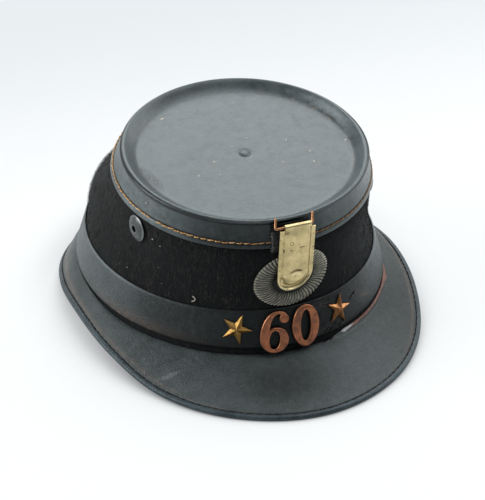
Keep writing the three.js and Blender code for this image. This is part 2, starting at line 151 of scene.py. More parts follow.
def wrapGrid(name, points, closeRows=True, capEnds=False, wear=None):  # grid laid over rows of points
    points = np.asarray(points, float)
    if closeRows:
        points = np.concatenate([points, points[:1]])
    points = np.concatenate([points, points[:, :1]], axis=1)
    rows, columns = points.shape[:2]
    deselect()
    bpy.ops.mesh.primitive_grid_add(x_subdivisions=columns - 1, y_subdivisions=rows - 1, size=1)
    piece = named(name)
    piece.data.vertices.foreach_set("co", points.reshape(-1))
    piece.data.update()
    if wear is not None:  # one value for each column of points
        mark(piece, "wear", np.tile(np.append(wear, wear[0]), rows))
    mergeUp(piece, capEnds)
    return piece


def placed(first, second, third, point):  # a frame for each copy, from its three axes and its place
    frames = np.zeros((len(point), 4, 4))
    for column, axis in enumerate((first, second, third, point)):
        frames[:, :3, column] = axis
    return frames


def scatter(name, shape, faces, frames):  # one joined mesh from a small shape and its places
    count = len(shape)
    points = np.einsum("nij,vj->nvi", frames[:, :3, :3], shape) + frames[:, None, :3, 3]
    joined = [[corner + copy * count for corner in face] for copy in range(len(frames)) for face in faces]
    mesh = bpy.data.meshes.new(name)
    mesh.from_pydata(points.reshape(-1, 3).tolist(), [], joined)
    mesh.update()
    piece = bpy.data.objects.new(name, mesh)
    bpy.context.scene.collection.objects.link(piece)
    return piece


def meshFrom(curve):
    piece = bpy.data.objects.new(curve.name, curve)
    bpy.context.scene.collection.objects.link(piece)
    only(piece)
    bpy.ops.object.convert(target="MESH")
    piece = bpy.context.object
    mergeUp(piece)
    return piece


def tube(name, path, radius, smoothPath=False):  # a bent round wire or thread as a mesh
    curve = bpy.data.curves.new(name, "CURVE")
    curve.dimensions = "3D"
    spline = curve.splines.new("NURBS" if smoothPath else "POLY")
    spline.points.add(len(path) - 1)
    for spot, place in zip(spline.points, path):
        spot.co = (*place, 1)
    spline.use_endpoint_u = True
    curve.bevel_depth = radius
    curve.bevel_resolution = 5
    curve.use_fill_caps = True
    return meshFrom(curve)


def mark(piece, name, values):  # a wear mask painted on the corners of a piece
    paint = piece.data.attributes.new(name, "FLOAT", "POINT")
    paint.data.foreach_set("value", np.asarray(values, np.float32))


def bell(values, middle, width):
    return np.exp(-((values - middle) / width) ** 2)


def rampUp(values, low, high):
    share = np.clip((values - low) / (high - low), 0, 1)
    return share * share * (3 - 2 * share)


def softSpots(rows, angle, rise):  # strength, angle and its width, rise and its width of each spot
    total = np.zeros(len(angle))
    for strength, middle, width, height, depth in rows:
        total += strength * bell(angle, middle, width) * bell(rise, height, depth)
    return total


def turned(x, y, place, turn):  # distances along and across a mark that lies at an angle
    x, y = x - place[0], y - place[1]
    return x * math.cos(turn) + y * math.sin(turn), y * math.cos(turn) - x * math.sin(turn)


def curved(first, pull, last, share):  # line between two points, bent towards a third
    first, pull, last = np.asarray(first), np.asarray(pull), np.asarray(last)
    return first * (1 - share) ** 2 + 2 * pull * share * (1 - share) + last * share ** 2


def flowing(row, share):  # smooth line through the rows on both sides of a step
    into, out = (row(1) - row(-1)) / 2, (row(2) - row(0)) / 2
    square, cube = share ** 2, share ** 3
    start = row(0) * (2 * cube - 3 * square + 1) + into * (cube - 2 * square + share)
    return start + row(1) * (3 * square - 2 * cube) + out * (cube - square)


def allRound(count):  # angles round the hat from the back, with 0 at the front
    return np.linspace(-math.pi, math.pi, count, endpoint=False)


def unit(vectors):
    return vectors / np.linalg.norm(vectors, axis=-1, keepdims=True)


def corners(piece):
    points = np.zeros(len(piece.data.vertices) * 3)
    piece.data.vertices.foreach_get("co", points)
    return points.reshape(-1, 3)


def settle(piece, finish, slot, *nodes, seat=Matrix(), body="hat", sharp=40):
    bpy.context.view_layer.update()
    piece.matrix_world = placing @ seat @ piece.matrix_world
    only(piece)
    bpy.ops.object.transform_apply(location=True, rotation=True, scale=True)
    bpy.ops.object.shade_smooth_by_angle(angle=math.radians(sharp))
    piece.data.materials.clear()
    piece.data.materials.append(finish)
    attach(piece, body)
    if nodes:
        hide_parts(*nodes)
    print("made", piece.name, len(piece.data.polygons), "faces")


# Finishes: node helpers

def newFinish(name):
    finish = bpy.data.materials.new(name)
    finish.use_nodes = True
    return finish, finish.node_tree, finish.node_tree.nodes["Principled BSDF"]


def node(tree, kind, sockets=(), **settings):
    made = tree.nodes.new("ShaderNode" + kind)
    for key, value in settings.items():
        setattr(made, key, value)
    dress(tree, made, dict(sockets))
    return made


def dress(tree, made, sockets):
    for key, value in sockets.items():
        feed(tree, made.inputs[key], value)


def feed(tree, socket, value):
    if isinstance(value, bpy.types.NodeSocket):
        tree.links.new(value, socket)
    else:
        socket.default_value = value


def inMillimetres(tree, stretch=(1, 1, 1), turn=0.0):
    place = node(tree, "TexCoord").outputs["Object"]
    if turn:
        place = node(tree, "Mapping", {"Vector": place, "Rotation": (0, 0, turn)}).outputs[0]
    scale = [1000 * value for value in stretch]
    return node(tree, "Mapping", {"Vector": place, "Scale": scale}).outputs[0]


def cloud(tree, where, scale, detail=3.0, rough=0.5, warp=0.0):
    sockets = {"Vector": where, "Scale": scale, "Detail": detail, "Roughness": rough, "Distortion": warp}
    return node(tree, "TexNoise", sockets).outputs[0]


def spread(tree, value, low, high, toLow=0.0, toHigh=1.0):
    sockets = {"Value": value, "From Min": low, "From Max": high, "To Min": toLow, "To Max": toHigh}
    return node(tree, "MapRange", sockets, interpolation_type="SMOOTHSTEP").outputs[0]


def sums(tree, operation, first, second):
    return node(tree, "Math", {0: first, 1: second}, operation=operation).outputs[0]


def times(tree, first, second):
    return sums(tree, "MULTIPLY", first, second)


def plus(tree, first, second):
    return sums(tree, "ADD", first, second)


def swing(tree, noise, share):  # noise to both sides of zero
    return times(tree, sums(tree, "SUBTRACT", noise, 0.5), share)


def blend(tree, share, first, second):
    mix = node(tree, "Mix", data_type="RGBA")
    feed(tree, mix.inputs[0], share)
    feed(tree, mix.inputs[6], first if isinstance(first, bpy.types.NodeSocket) else (*first, 1))
    feed(tree, mix.inputs[7], second if isinstance(second, bpy.types.NodeSocket) else (*second, 1))
    return mix.outputs[2]


def mask(tree, name):
    return node(tree, "Attribute", attribute_name=name).outputs["Fac"]


def bump(tree, height, strength, distance, below=None):
    sockets = {"Height": height, "Strength": strength, "Distance": distance}
    if below is not None:
        sockets["Normal"] = below
    return node(tree, "Bump", sockets).outputs[0]


# Leather: slate black, mottled and grained, with painted shade and some grime, red-brown rubs, lighter scuffs
# and painted highlights, a pale scratch, cracks and flakes
def leatherFinish(name, look):
    finish, tree, shader = newFinish(name)
    where = inMillimetres(tree)
    mottle = cloud(tree, where, look["mottle"], 6, 0.66, 0.4)
    blotch = cloud(tree, where, 0.2, 5, 0.65, 0.3)
    fine = cloud(tree, where, 1.1, 4, 0.65)
    colour = blend(tree, spread(tree, mottle, 0.33, 0.68), look["dark"], look["light"])
    colour = blend(tree, spread(tree, blotch, 0.5, 0.74, 0, look["blotch"]), colour, look["dark"])
    colour = blend(tree, spread(tree, fine, 0.46, 0.62, 0, look["fleck"]), colour, look["scuffed"])
    streak = cloud(tree, inMillimetres(tree, (0.06, 0.8, 0.8)), 0.9, 3)
    crossed = cloud(tree, inMillimetres(tree, (0.05, 0.9, 0.9), -0.75), 0.9, 3)
    scratched = sums(tree, "MAXIMUM", spread(tree, streak, 0.62, 0.72), spread(tree, crossed, 0.66, 0.74))
    scuff = times(tree, scratched, spread(tree, mottle, 0.46, 0.64))
    colour = blend(tree, times(tree, scuff, look["scuff"]), colour, look["scuffed"])
    breakUp = swing(tree, cloud(tree, where, 0.35, 5, 0.68), 1.4)
    # lighter where marked: real scuffs, and painted highlight on the band's sides and upper edge and the
    # skirt's sides
    dust = spread(tree, plus(tree, mask(tree, "dust"), breakUp), 0.3, 1.1, 0, 0.75)
    colour = blend(tree, dust, colour, look["scuffed"])
    # painted shade, with some real grime: darker where the piece marks grooves, undercuts, recesses and front
    # faces
    shadeAndGrime = plus(tree, mask(tree, "shadeAndGrime"), times(tree, breakUp, 0.4))
    shadeAndGrime = spread(tree, shadeAndGrime, 0.1, 0.9)
    colour = blend(tree, shadeAndGrime, colour, look["shadeAndGrime"])
    tan = times(tree, mask(tree, "tan"), spread(tree, breakUp, -0.25, 0.3, 0.35, 1))
    colour = blend(tree, tan, colour, look["tan"])
    rub = spread(tree, plus(tree, mask(tree, "wear"), breakUp), 0.34, 0.8)
    colour = blend(tree, rub, colour, look["worn"])
    # pale where marked: a real scratch, and a painted highlight at the start of the brim's ridge
    pale = spread(tree, plus(tree, mask(tree, "pale"), breakUp), 0.4, 0.8)
    colour = blend(tree, pale, colour, look["pale"])
    cells = node(tree, "TexVoronoi", {"Vector": where, "Scale": 0.62}, feature="DISTANCE_TO_EDGE").outputs[0]
    crackled = spread(tree, mask(tree, "crack"), 0.1, 0.9, 0, 0.85)
    crack = times(tree, spread(tree, cells, 0.09, 0.02), crackled)
    colour = blend(tree, crack, colour, look["cracked"])
    ragged = plus(tree, mask(tree, "flake"), times(tree, breakUp, 1.2))
    flake = spread(tree, ragged, 0.55, 0.62)
    torn = sums(tree, "SUBTRACT", spread(tree, ragged, 0.47, 0.53), flake)
    colour = blend(tree, flake, colour, look["flake"])
    colour = blend(tree, times(tree, torn, 0.3), colour, look["torn"])
    rough = spread(tree, mottle, 0.3, 0.72, look["rough"] - 0.06, look["rough"] + 0.09)
    rough = plus(tree, rough, times(tree, rub, 0.15))
    rough = plus(tree, rough, spread(tree, blotch, 0.35, 0.7, -0.03, 0.04))
    dulled = sums(tree, "MAXIMUM", times(tree, shadeAndGrime, 0.8), sums(tree, "MAXIMUM", flake, crack))
    dulled = sums(tree, "MAXIMUM", dulled, spread(tree, mottle, 0.56, 0.36, 0, look["blotch"] * 0.7))
    pores = node(tree, "TexVoronoi", {"Vector": where, "Scale": 1.2}, feature="SMOOTH_F1").outputs[0]
    normal = bump(tree, cloud(tree, where, 0.09, 4, 0.55), look["waves"], 0.0008)
    normal = bump(tree, pores, look["grain"], 0.0003, normal)
    normal = bump(tree, fine, look["grain"], 0.0005, normal)
    normal = bump(tree, crack, 0.6, -0.0002, normal)
    normal = bump(tree, flake, 0.7, 0.0003, normal)
    dress(tree, shader, {
        "Base Color": colour, "Roughness": rough, "Normal": normal, "Specular IOR Level": look["gloss"],
        "Specular Tint": blend(tree, dulled, look["tint"], look["dulled"]),
        "Coat Weight": look["coat"], "Coat Roughness": look["coatRough"], "Coat Tint": (*look["tint"], 1),
    })
    return finish


bandLook = {
    "dark": (0.0125, 0.0165, 0.018), "light": (0.03, 0.037, 0.0395), "rough": 0.42, "gloss": 0.42,
    "tint": (0.84, 0.97, 1), "dulled": (0.1, 0.135, 0.145), "coat": 0.1, "coatRough": 0.34,
    "grain": 0.55, "mottle": 0.06, "waves": 0.3, "blotch": 0.45, "fleck": 0.22, "scuff": 0.4,
    "scuffed": (0.1, 0.112, 0.116), "tan": (0.105, 0.078, 0.06), "shadeAndGrime": (0.006, 0.0065, 0.0065),
    "worn": (0.15, 0.085, 0.07), "pale": (0.4, 0.4, 0.39), "cracked": (0.008, 0.009, 0.009),
    "flake": (0.004, 0.004, 0.004), "torn": (0.13, 0.09, 0.075),
}
topLook = dict(
    bandLook, dark=(0.022, 0.0285, 0.0305), light=(0.044, 0.053, 0.056), rough=0.36, gloss=0.515,
    coat=0.25, coatRough=0.3, grain=0.2, mottle=0.1, waves=0.1, blotch=0.14, fleck=0.12, scuff=0.55,
    scuffed=(0.11, 0.12, 0.122), worn=(0.15, 0.105, 0.075),
)
brimLook = dict(
    bandLook, dark=(0.0135, 0.016, 0.0162), light=(0.031, 0.038, 0.039), tint=(0.81, 0.97, 1), gloss=0.44,
    grain=0.65, blotch=0.2, fleck=0.2, scuffed=(0.1, 0.105, 0.104), worn=(0.185, 0.085, 0.062),
)
bindingLook = dict(
    bandLook, dark=(0.0095, 0.0142, 0.0175), light=(0.026, 0.0345, 0.0395), tint=(0.7, 0.91, 1),
)
tabLook = dict(
    bandLook, dark=(0.004, 0.004, 0.0045), light=(0.014, 0.014, 0.014), rough=0.62, gloss=0.22, coat=0,
    grain=1, scuffed=(0.1, 0.095, 0.085),
)
brimLeather = leatherFinish("brimLeather", brimLook)
bindingLeather = leatherFinish("bindingLeather", bindingLook)
bandLeather = leatherFinish("bandLeather", bandLook)
topLeather = leatherFinish("topLeather", topLook)
tabLeather = leatherFinish("tabLeather", tabLook)


# Felt: near black wool with short upright brownish fibres
feltLook = {"dark": (0.0019, 0.0029, 0.0034), "light": (0.0064, 0.0085, 0.0092), "dust": (0.05, 0.046, 0.038)}


def feltFinish():
    finish, tree, shader = newFinish("blackFelt")
    upright = inMillimetres(tree, (1, 1, 0.22))
    fibres = cloud(tree, upright, 0.9, 4, 0.7, 0.8)
    patches = cloud(tree, inMillimetres(tree), 0.06, 4, 0.6)
    colour = blend(tree, spread(tree, fibres, 0.42, 0.72), feltLook["dark"], feltLook["light"])
    streaks = cloud(tree, inMillimetres(tree, (1, 1, 0.16)), 0.6, 5, 0.75, 0.6)
    dusty = times(tree, spread(tree, streaks, 0.56, 0.72), spread(tree, patches, 0.38, 0.66))
    colour = blend(tree, times(tree, dusty, 0.8), colour, feltLook["dust"])
    dress(tree, shader, {
        "Base Color": colour, "Roughness": 0.95, "Normal": bump(tree, fibres, 0.6, 0.0005),
        "Specular IOR Level": 0.15, "Sheen Weight": 0.1, "Sheen Roughness": 0.45,
        "Sheen Tint": (0.62, 0.68, 0.7, 1),
    })
    return finish


blackFelt = feltFinish()


# Fibres and threads: one soft finish, lighter or darker along the piece
def threadFinish(name, dark, light, rough=0.9, scale=1.3, faded=None):
    finish, tree, shader = newFinish(name)
    where = inMillimetres(tree)
    tone = cloud(tree, where, scale, 2, 0.6)
    colour = blend(tree, spread(tree, tone, 0.3, 0.7), dark, light)
    if faded:  # another tone towards the right of the hat
        across = node(tree, "SeparateXYZ", {"Vector": where}).outputs["X"]
        colour = blend(tree, spread(tree, across, -42, 2, 0, 0.8), colour, faded)
    twist = bump(tree, cloud(tree, where, 6, 2), 0.4, 0.0001)
    dress(tree, shader, {
        "Base Color": colour, "Roughness": rough, "Specular IOR Level": 0.2, "Normal": twist,
    })
    return finish


napFinish = threadFinish(
    "feltNap", (0.0022, 0.0028, 0.003), (0.058, 0.049, 0.04), scale=0.34, faded=(0.0085, 0.0098, 0.01))
hairFinish = threadFinish("feltHairs", (0.008, 0.008, 0.0078), (0.07, 0.062, 0.049), scale=0.4)
orangeThread = threadFinish(
    "orangeThread", (0.23, 0.105, 0.036), (0.54, 0.345, 0.15), scale=0.9, faded=(0.2, 0.105, 0.055))
darkThread = threadFinish("darkThread", (0.003, 0.003, 0.003), (0.012, 0.011, 0.01))
blackFlake = threadFinish("blackFlake", (0.002, 0.002, 0.002), (0.008, 0.0075, 0.007), rough=0.45)
paleDust = threadFinish("paleDust", (0.26, 0.235, 0.195), (0.52, 0.485, 0.43), scale=0.3)


# Metals: colour with tarnish in patches, painted shade and tarnish in the low places marked on the piece, and
# painted highlights where marked
def metalFinish(name, look):
    finish, tree, shader = newFinish(name)
    where = inMillimetres(tree)
    patches = cloud(tree, where, look["patch"], 5, 0.65, 0.3)
    specks = cloud(tree, where, look["patch"] * 6, 4, 0.7)
    colour = blend(tree, spread(tree, patches, 0.36, 0.68), look["colour"], look["second"])
    colour = blend(tree, spread(tree, specks, 0.56, 0.72, 0, look["speckled"]), colour, look["tarnish"])
    breakUp = swing(tree, specks, 0.5)
    # painted shade, with tarnish, in the low places marked on the piece
    shadeAndGrime = spread(tree, plus(tree, mask(tree, "low"), breakUp), 0.2, 0.85)
    colour = blend(tree, shadeAndGrime, colour, look["tarnish"])
    # painted highlight where marked
    colour = blend(tree, spread(tree, mask(tree, "paintedHighlight"), 0.2, 1, 0, 0.8), colour, look["highlightColour"])
    rough = spread(tree, patches, 0.3, 0.7, look["rough"] - 0.07, look["rough"] + 0.08)
    rough = plus(tree, rough, times(tree, shadeAndGrime, 0.15))
    normal = bump(tree, cloud(tree, where, 0.55, 3), 0.25, 0.0003)
    normal = bump(tree, specks, 0.2, 0.00006, normal)
    dress(tree, shader, {
        "Base Color": colour, "Metallic": look["metal"], "Roughness": rough, "Normal": normal,
    })
    return finish


paleBrass = metalFinish("paleBrass", {
    "colour": (0.58, 0.475, 0.245), "second": (0.43, 0.36, 0.185), "tarnish": (0.12, 0.08, 0.035),
    "highlightColour": (0.86, 0.75, 0.45), "patch": 0.16, "speckled": 0.5, "metal": 0.95, "rough": 0.33,
})
starBrass = metalFinish("starBrass", {
    "colour": (0.27, 0.16, 0.045), "second": (0.17, 0.09, 0.027), "tarnish": (0.07, 0.035, 0.014),
    "highlightColour": (0.6, 0.42, 0.16), "patch": 0.4, "speckled": 0.55, "metal": 0.9, "rough": 0.47,
})
brownBrass = metalFinish("brownBrass", {
    "colour": (0.36, 0.17, 0.065), "second": (0.2, 0.085, 0.035), "tarnish": (0.05, 0.024, 0.014),
    "highlightColour": (0.6, 0.36, 0.16), "patch": 0.4, "speckled": 0.6, "metal": 0.9, "rough": 0.4,
})
wireCopper = metalFinish("wireCopper", {
    "colour": (0.34, 0.175, 0.085), "second": (0.17, 0.08, 0.04), "tarnish": (0.06, 0.028, 0.017),
    "highlightColour": (0.7, 0.45, 0.25), "patch": 0.5, "speckled": 0.5, "metal": 0.95, "rough": 0.3,
})
dullCopper = metalFinish("dullCopper", {
    "colour": (0.34, 0.125, 0.06), "second": (0.15, 0.07, 0.046), "tarnish": (0.045, 0.028, 0.022),
    "highlightColour": (0.7, 0.31, 0.15), "patch": 0.22, "speckled": 0.65, "metal": 0.85, "rough": 0.38,
})
darkBronze = metalFinish("darkBronze", {
    "colour": (0.19, 0.185, 0.152), "second": (0.125, 0.125, 0.106), "tarnish": (0.022, 0.024, 0.021),
    "highlightColour": (0.38, 0.37, 0.3), "patch": 0.3, "speckled": 0.55, "metal": 0.7, "rough": 0.47,
})
blackPaint = metalFinish("blackPaint", {
    "colour": (0.06, 0.068, 0.07), "second": (0.035, 0.041, 0.043), "tarnish": (0.012, 0.013, 0.013),
    "highlightColour": (0.24, 0.255, 0.255), "patch": 0.25, "speckled": 0.3, "metal": 0.45, "rough": 0.31,
})
print("finishes ready")


# Felt wall and the surfaces that the other pieces sit on
topPlace = {"y": -25.7, "z": 80, "fall": 8.2, "oval": 0.955, "backFlare": 5.2}
topSeat = Matrix.Translation((0, topPlace["y"], topPlace["z"])) @ Matrix.Rotation(
    math.radians(topPlace["fall"]), 4, "X")


def topRow(halfWidth, height, flare):
    fall = math.radians(topPlace["fall"])
    setBack = flare * topPlace["backFlare"] / 2
    y = topPlace["y"] - height * math.sin(fall) + setBack * math.cos(fall)
    z = topPlace["z"] + height * math.cos(fall) + setBack * math.sin(fall)
    half = (halfWidth * topPlace["oval"] + setBack) * math.cos(fall)
    return z, halfWidth, y - half, y + half, topPlace["fall"]


feltWall = {
    "rows": [  # height, half width, front, back, fall to the front in degrees
        (-5.5, 83.6, -98.4, 98.4, 0),
        (0, 83.6, -98.4, 98.4, 0),
        (18.9, 78.2, -92.8, 93, -0.8),
        (30.8, 75.6, -91.4, 93.5, 2),
        (42.8, 72.6, -90.4, 76, 3.9),
        (54.7, 70.5, -89.7, 55.5, 5.9),
        topRow(69.1, -14.4, 1),
        topRow(65.5, -5.6, 0.25),
    ],
    "thickness": 2.4, "sides": 96, "stepsPerRow": 3, "ventHole": 3, "dentSize": 22, "unevenness": 0.7,
    "bandOutset": 1.5, "bandRadius": 92,
}


def wallRow(level, rounded=True):
    rows = np.array(feltWall["rows"])
    level = np.clip(np.asarray(level, float), 0, len(rows) - 1)
    low = np.minimum(level.astype(int), len(rows) - 2)
    share = (level - low)[..., None]

    def row(step):
        return rows[np.clip(low + step, 0, len(rows) - 1)]

    if not rounded:
        return row(0) + (row(1) - row(0)) * share
    return flowing(row, share)


def wallPoint(angle, level, outset=0.0, rounded=False):
    row = wallRow(level, rounded)
    z, halfWidth, front, back, fall = np.moveaxis(row, -1, 0)
    middle = (front + back) / 2
    y = middle - ((back - front) / 2 + outset) * np.cos(angle)
    x = (halfWidth + outset) * np.sin(angle)
    return np.stack(np.broadcast_arrays(x, y, z + (y - middle) * np.tan(np.radians(fall))), axis=-1)


def bandPoint(angle, rise):
    return wallPoint(angle, 1 + np.asarray(rise, float), feltWall["bandOutset"])


def aroundBand(x, y):  # degrees round the band's foot from the front, and distance out from the band
    _, halfWidth, _, halfLength, _ = feltWall["rows"][1]
    outset = feltWall["bandOutset"]
    share = np.hypot(x / (halfWidth + outset), y / (halfLength + outset))
    angle = np.degrees(np.arctan2(x / halfWidth, -y / halfLength))
    return angle, (share - 1) * feltWall["bandRadius"]


def surfaceFrame(surface, angle, level, reach):
    along = unit(surface(angle + 0.01, level) - surface(angle - 0.01, level))
    up = surface(angle, level + reach) - surface(angle, level - reach)
    out = unit(np.cross(along, up))
    return surface(angle, level), along, np.cross(out, along), out


def seatOn(surface, angle, level, reach=0.01, turn=0.0, lift=0.3):
    point, along, up, out = surfaceFrame(surface, math.radians(angle), level, reach)
    seat = Matrix.Identity(4)
    for column, axis in enumerate((along, up, out)):
        seat.col[column][:3] = axis
    seat.translation = Vector(point + out * lift)
    return seat @ Matrix.Rotation(math.radians(turn), 4, "Z")


def wallRing(level, outset):
    z, halfWidth, front, back, fall = wallRow(level, True)
    lean = math.radians(fall)
    half = ((back - front) / 2 + outset) / math.cos(lean)
    return hoop(halfWidth + outset, half, (front + back) / 2, z, lean)


vents = {
    "places": [("ventLeft", "vent_left", -71), ("ventRight", "vent_right", 75)], "level": 5.06, "reach": 0.8,
    "turn": 6,
    "profile": [  # half width, height
        (1.8, -4.1), (1.8, 1.2), (1.85, 1.9), (2.1, 2.25), (2.7, 2.3), (4.2, 2.05), (5.4, 1.6),
        (6.4, 1.05), (7.1, 0.65), (7.35, 0.4), (7.2, 0.2), (6.8, 0.15), (2.7, 0.15), (2.65, -3.3),
        (4.1, -3.5), (4.2, -4.1),
    ],
}


def makeFelt():
    steps = len(feltWall["rows"]) - 1
    levels = np.linspace(0, steps, steps * feltWall["stepsPerRow"] + 1)
    piece = ringPiece("feltCrown", [wallRing(level, 0) for level in levels], feltWall["sides"])
    smooth(piece, 1)
    dented(piece, "feltDents", feltWall["dentSize"], feltWall["unevenness"])
    apply(piece, "SOLIDIFY", thickness=feltWall["thickness"], offset=-1)
    for _, _, angle in vents["places"]:
        deselect()
        bpy.ops.mesh.primitive_cylinder_add(vertices=32, radius=feltWall["ventHole"], depth=14)
        cutter = named("ventCutter")
        cutter.matrix_world = seatOn(wallPoint, angle, vents["level"], vents["reach"])
        apply(piece, "BOOLEAN", object=cutter, operation="DIFFERENCE", solver="EXACT")
        bpy.data.objects.remove(cutter)
    settle(piece, blackFelt, "felt", "crown_body")


makeFelt()


# Short fibres that stand off the felt, mostly combed down
feltNap = {
    "fine": {
        "count": 14000, "length": (0.9, 2.6), "width": 0.045, "lift": (0.05, 0.4), "lean": 0.45,
        "atFront": 0.8,
    },
    "long": {
        "count": 3600, "length": (2.2, 6), "width": 0.07, "lift": (0, 0.12), "lean": 0.4, "atFront": 0.06,
    },
    "from": 2.02, "to": 6.0,
}


def makeNap(name, kind, finish):
    count = kind["count"]
    angle = dice.uniform(-math.pi, math.pi, count)
    level = dice.uniform(feltNap["from"], feltNap["to"], count)
    share = kind["atFront"] + (1 - kind["atFront"]) * rampUp(np.abs(angle), 0.5, 1.3)
    kept = dice.uniform(0, 1, count) < share  # fewer at the front
    angle, level, count = angle[kept], level[kept], int(kept.sum())

    def surface(angle, level):
        return wallPoint(angle, level, 0, True)

    point, along, up, out = surfaceFrame(surface, angle, level, 0.02)
    lean = dice.normal(0, kind["lean"], count)[:, None]
    lift = dice.uniform(*kind["lift"], count)[:, None]
    run = unit(-up * np.cos(lean) + along * np.sin(lean) + out * lift)
    side = unit(np.cross(run, out))
    length = dice.uniform(*kind["length"], count)[:, None]
    frames = placed(side * kind["width"], np.cross(side, run) * kind["width"], run * length, point)
    ring = np.array([(math.cos(turn), math.sin(turn), 0) for turn in (0.5, 2.6, 4.7)])
    bent = np.array([(0, 3.5, 0.55)])
    fibre = np.concatenate([ring, ring * 0.8 + bent, [(0, 2.5, 1)]])
    faces = [(2, 1, 0)] + [(k, (k + 1) % 3, 3 + (k + 1) % 3, 3 + k) for k in range(3)]
    faces += [(3 + k, 3 + (k + 1) % 3, 6) for k in range(3)]
    settle(scatter(name, fibre, faces, frames), finish, "felt")


makeNap("feltNap", feltNap["fine"], napFinish)
makeNap("feltHairs", feltNap["long"], hairFinish)


# Leather top: boss, dished floor, cove, bead, neck and flaring skirt
leatherTop = {
    "profile": [  # half width, height, share of the back flare
        (1, -2.6, 0), (2, -2.75, 0), (2.65, -3.2, 0), (3.1, -3.5, 0), (3.7, -3.55, 0), (4.6, -3.38, 0),
        (5.8, -3.32, 0),
        (14, -3.3, 0), (30, -3.35, 0), (45, -3.4, 0), (55, -3.45, 0), (59, -3.42, 0), (60.8, -3.1, 0),
        (62.3, -2.2, 0), (63.8, -1, 0), (65.2, 0.25, 0), (66.4, 1.1, 0), (67.15, 1.4, 0), (67.65, 1.25, 0),
        (67.95, 0.7, 0), (67.85, 0, 0), (67.4, -0.85, 0), (67, -1.6, 0), (66.95, -2.2, 0), (67.2, -3, 0.06),
        (67.9, -5.6, 0.3),
        (69.2, -8.9, 0.55), (69.95, -10.6, 0.7), (70.1, -11.3, 0.76), (70.15, -11.7, 0.79),
        (70.75, -12.4, 0.85), (71.3, -13.9, 0.98), (71.45, -14.35, 1), (71.1, -14.75, 1),
        (70.3, -14.75, 1), (69.7, -14.4, 1), (69.3, -13.4, 0.95), (66.2, -5.5, 0.3), (65.6, -1.5, 0),
        (64.6, -0.6, 0), (62.6, -2.6, 0), (61, -4.3, 0), (57, -5.2, 0), (30, -5.2, 0), (3, -5.2, 0),
    ],
    "sides": 96, "dentSize": 20, "unevenness": 0.16, "sideDraw": 1.9, "drawnShare": 1.031,
    "stitches": 116, "stitchHeight": -11.5, "stitchRadius": 70.3, "stitchFlare": 0.78,
    "floorEdge": 60.6, "crest": 67.6, "skirtFrom": 66, "hem": -14.7,
    # the skirt between the wire's legs gets painted shade
    "betweenLegs": (2, 9.3),  # middle and half width of the dark part inside the wire
    "crackle": (-55.4, -6.5, 10.5, 2.8, -1.33),  # place, half length, half width, turn
}


def topPoint(angle, radius, height, flare):  # angle 0 at the front, on the flat top before it leans
    setBack = flare * topPlace["backFlare"] / 2
    y = setBack - (radius * topPlace["oval"] + setBack) * np.cos(angle)
    return np.stack(np.broadcast_arrays(radius * np.sin(angle), y, height), axis=-1)


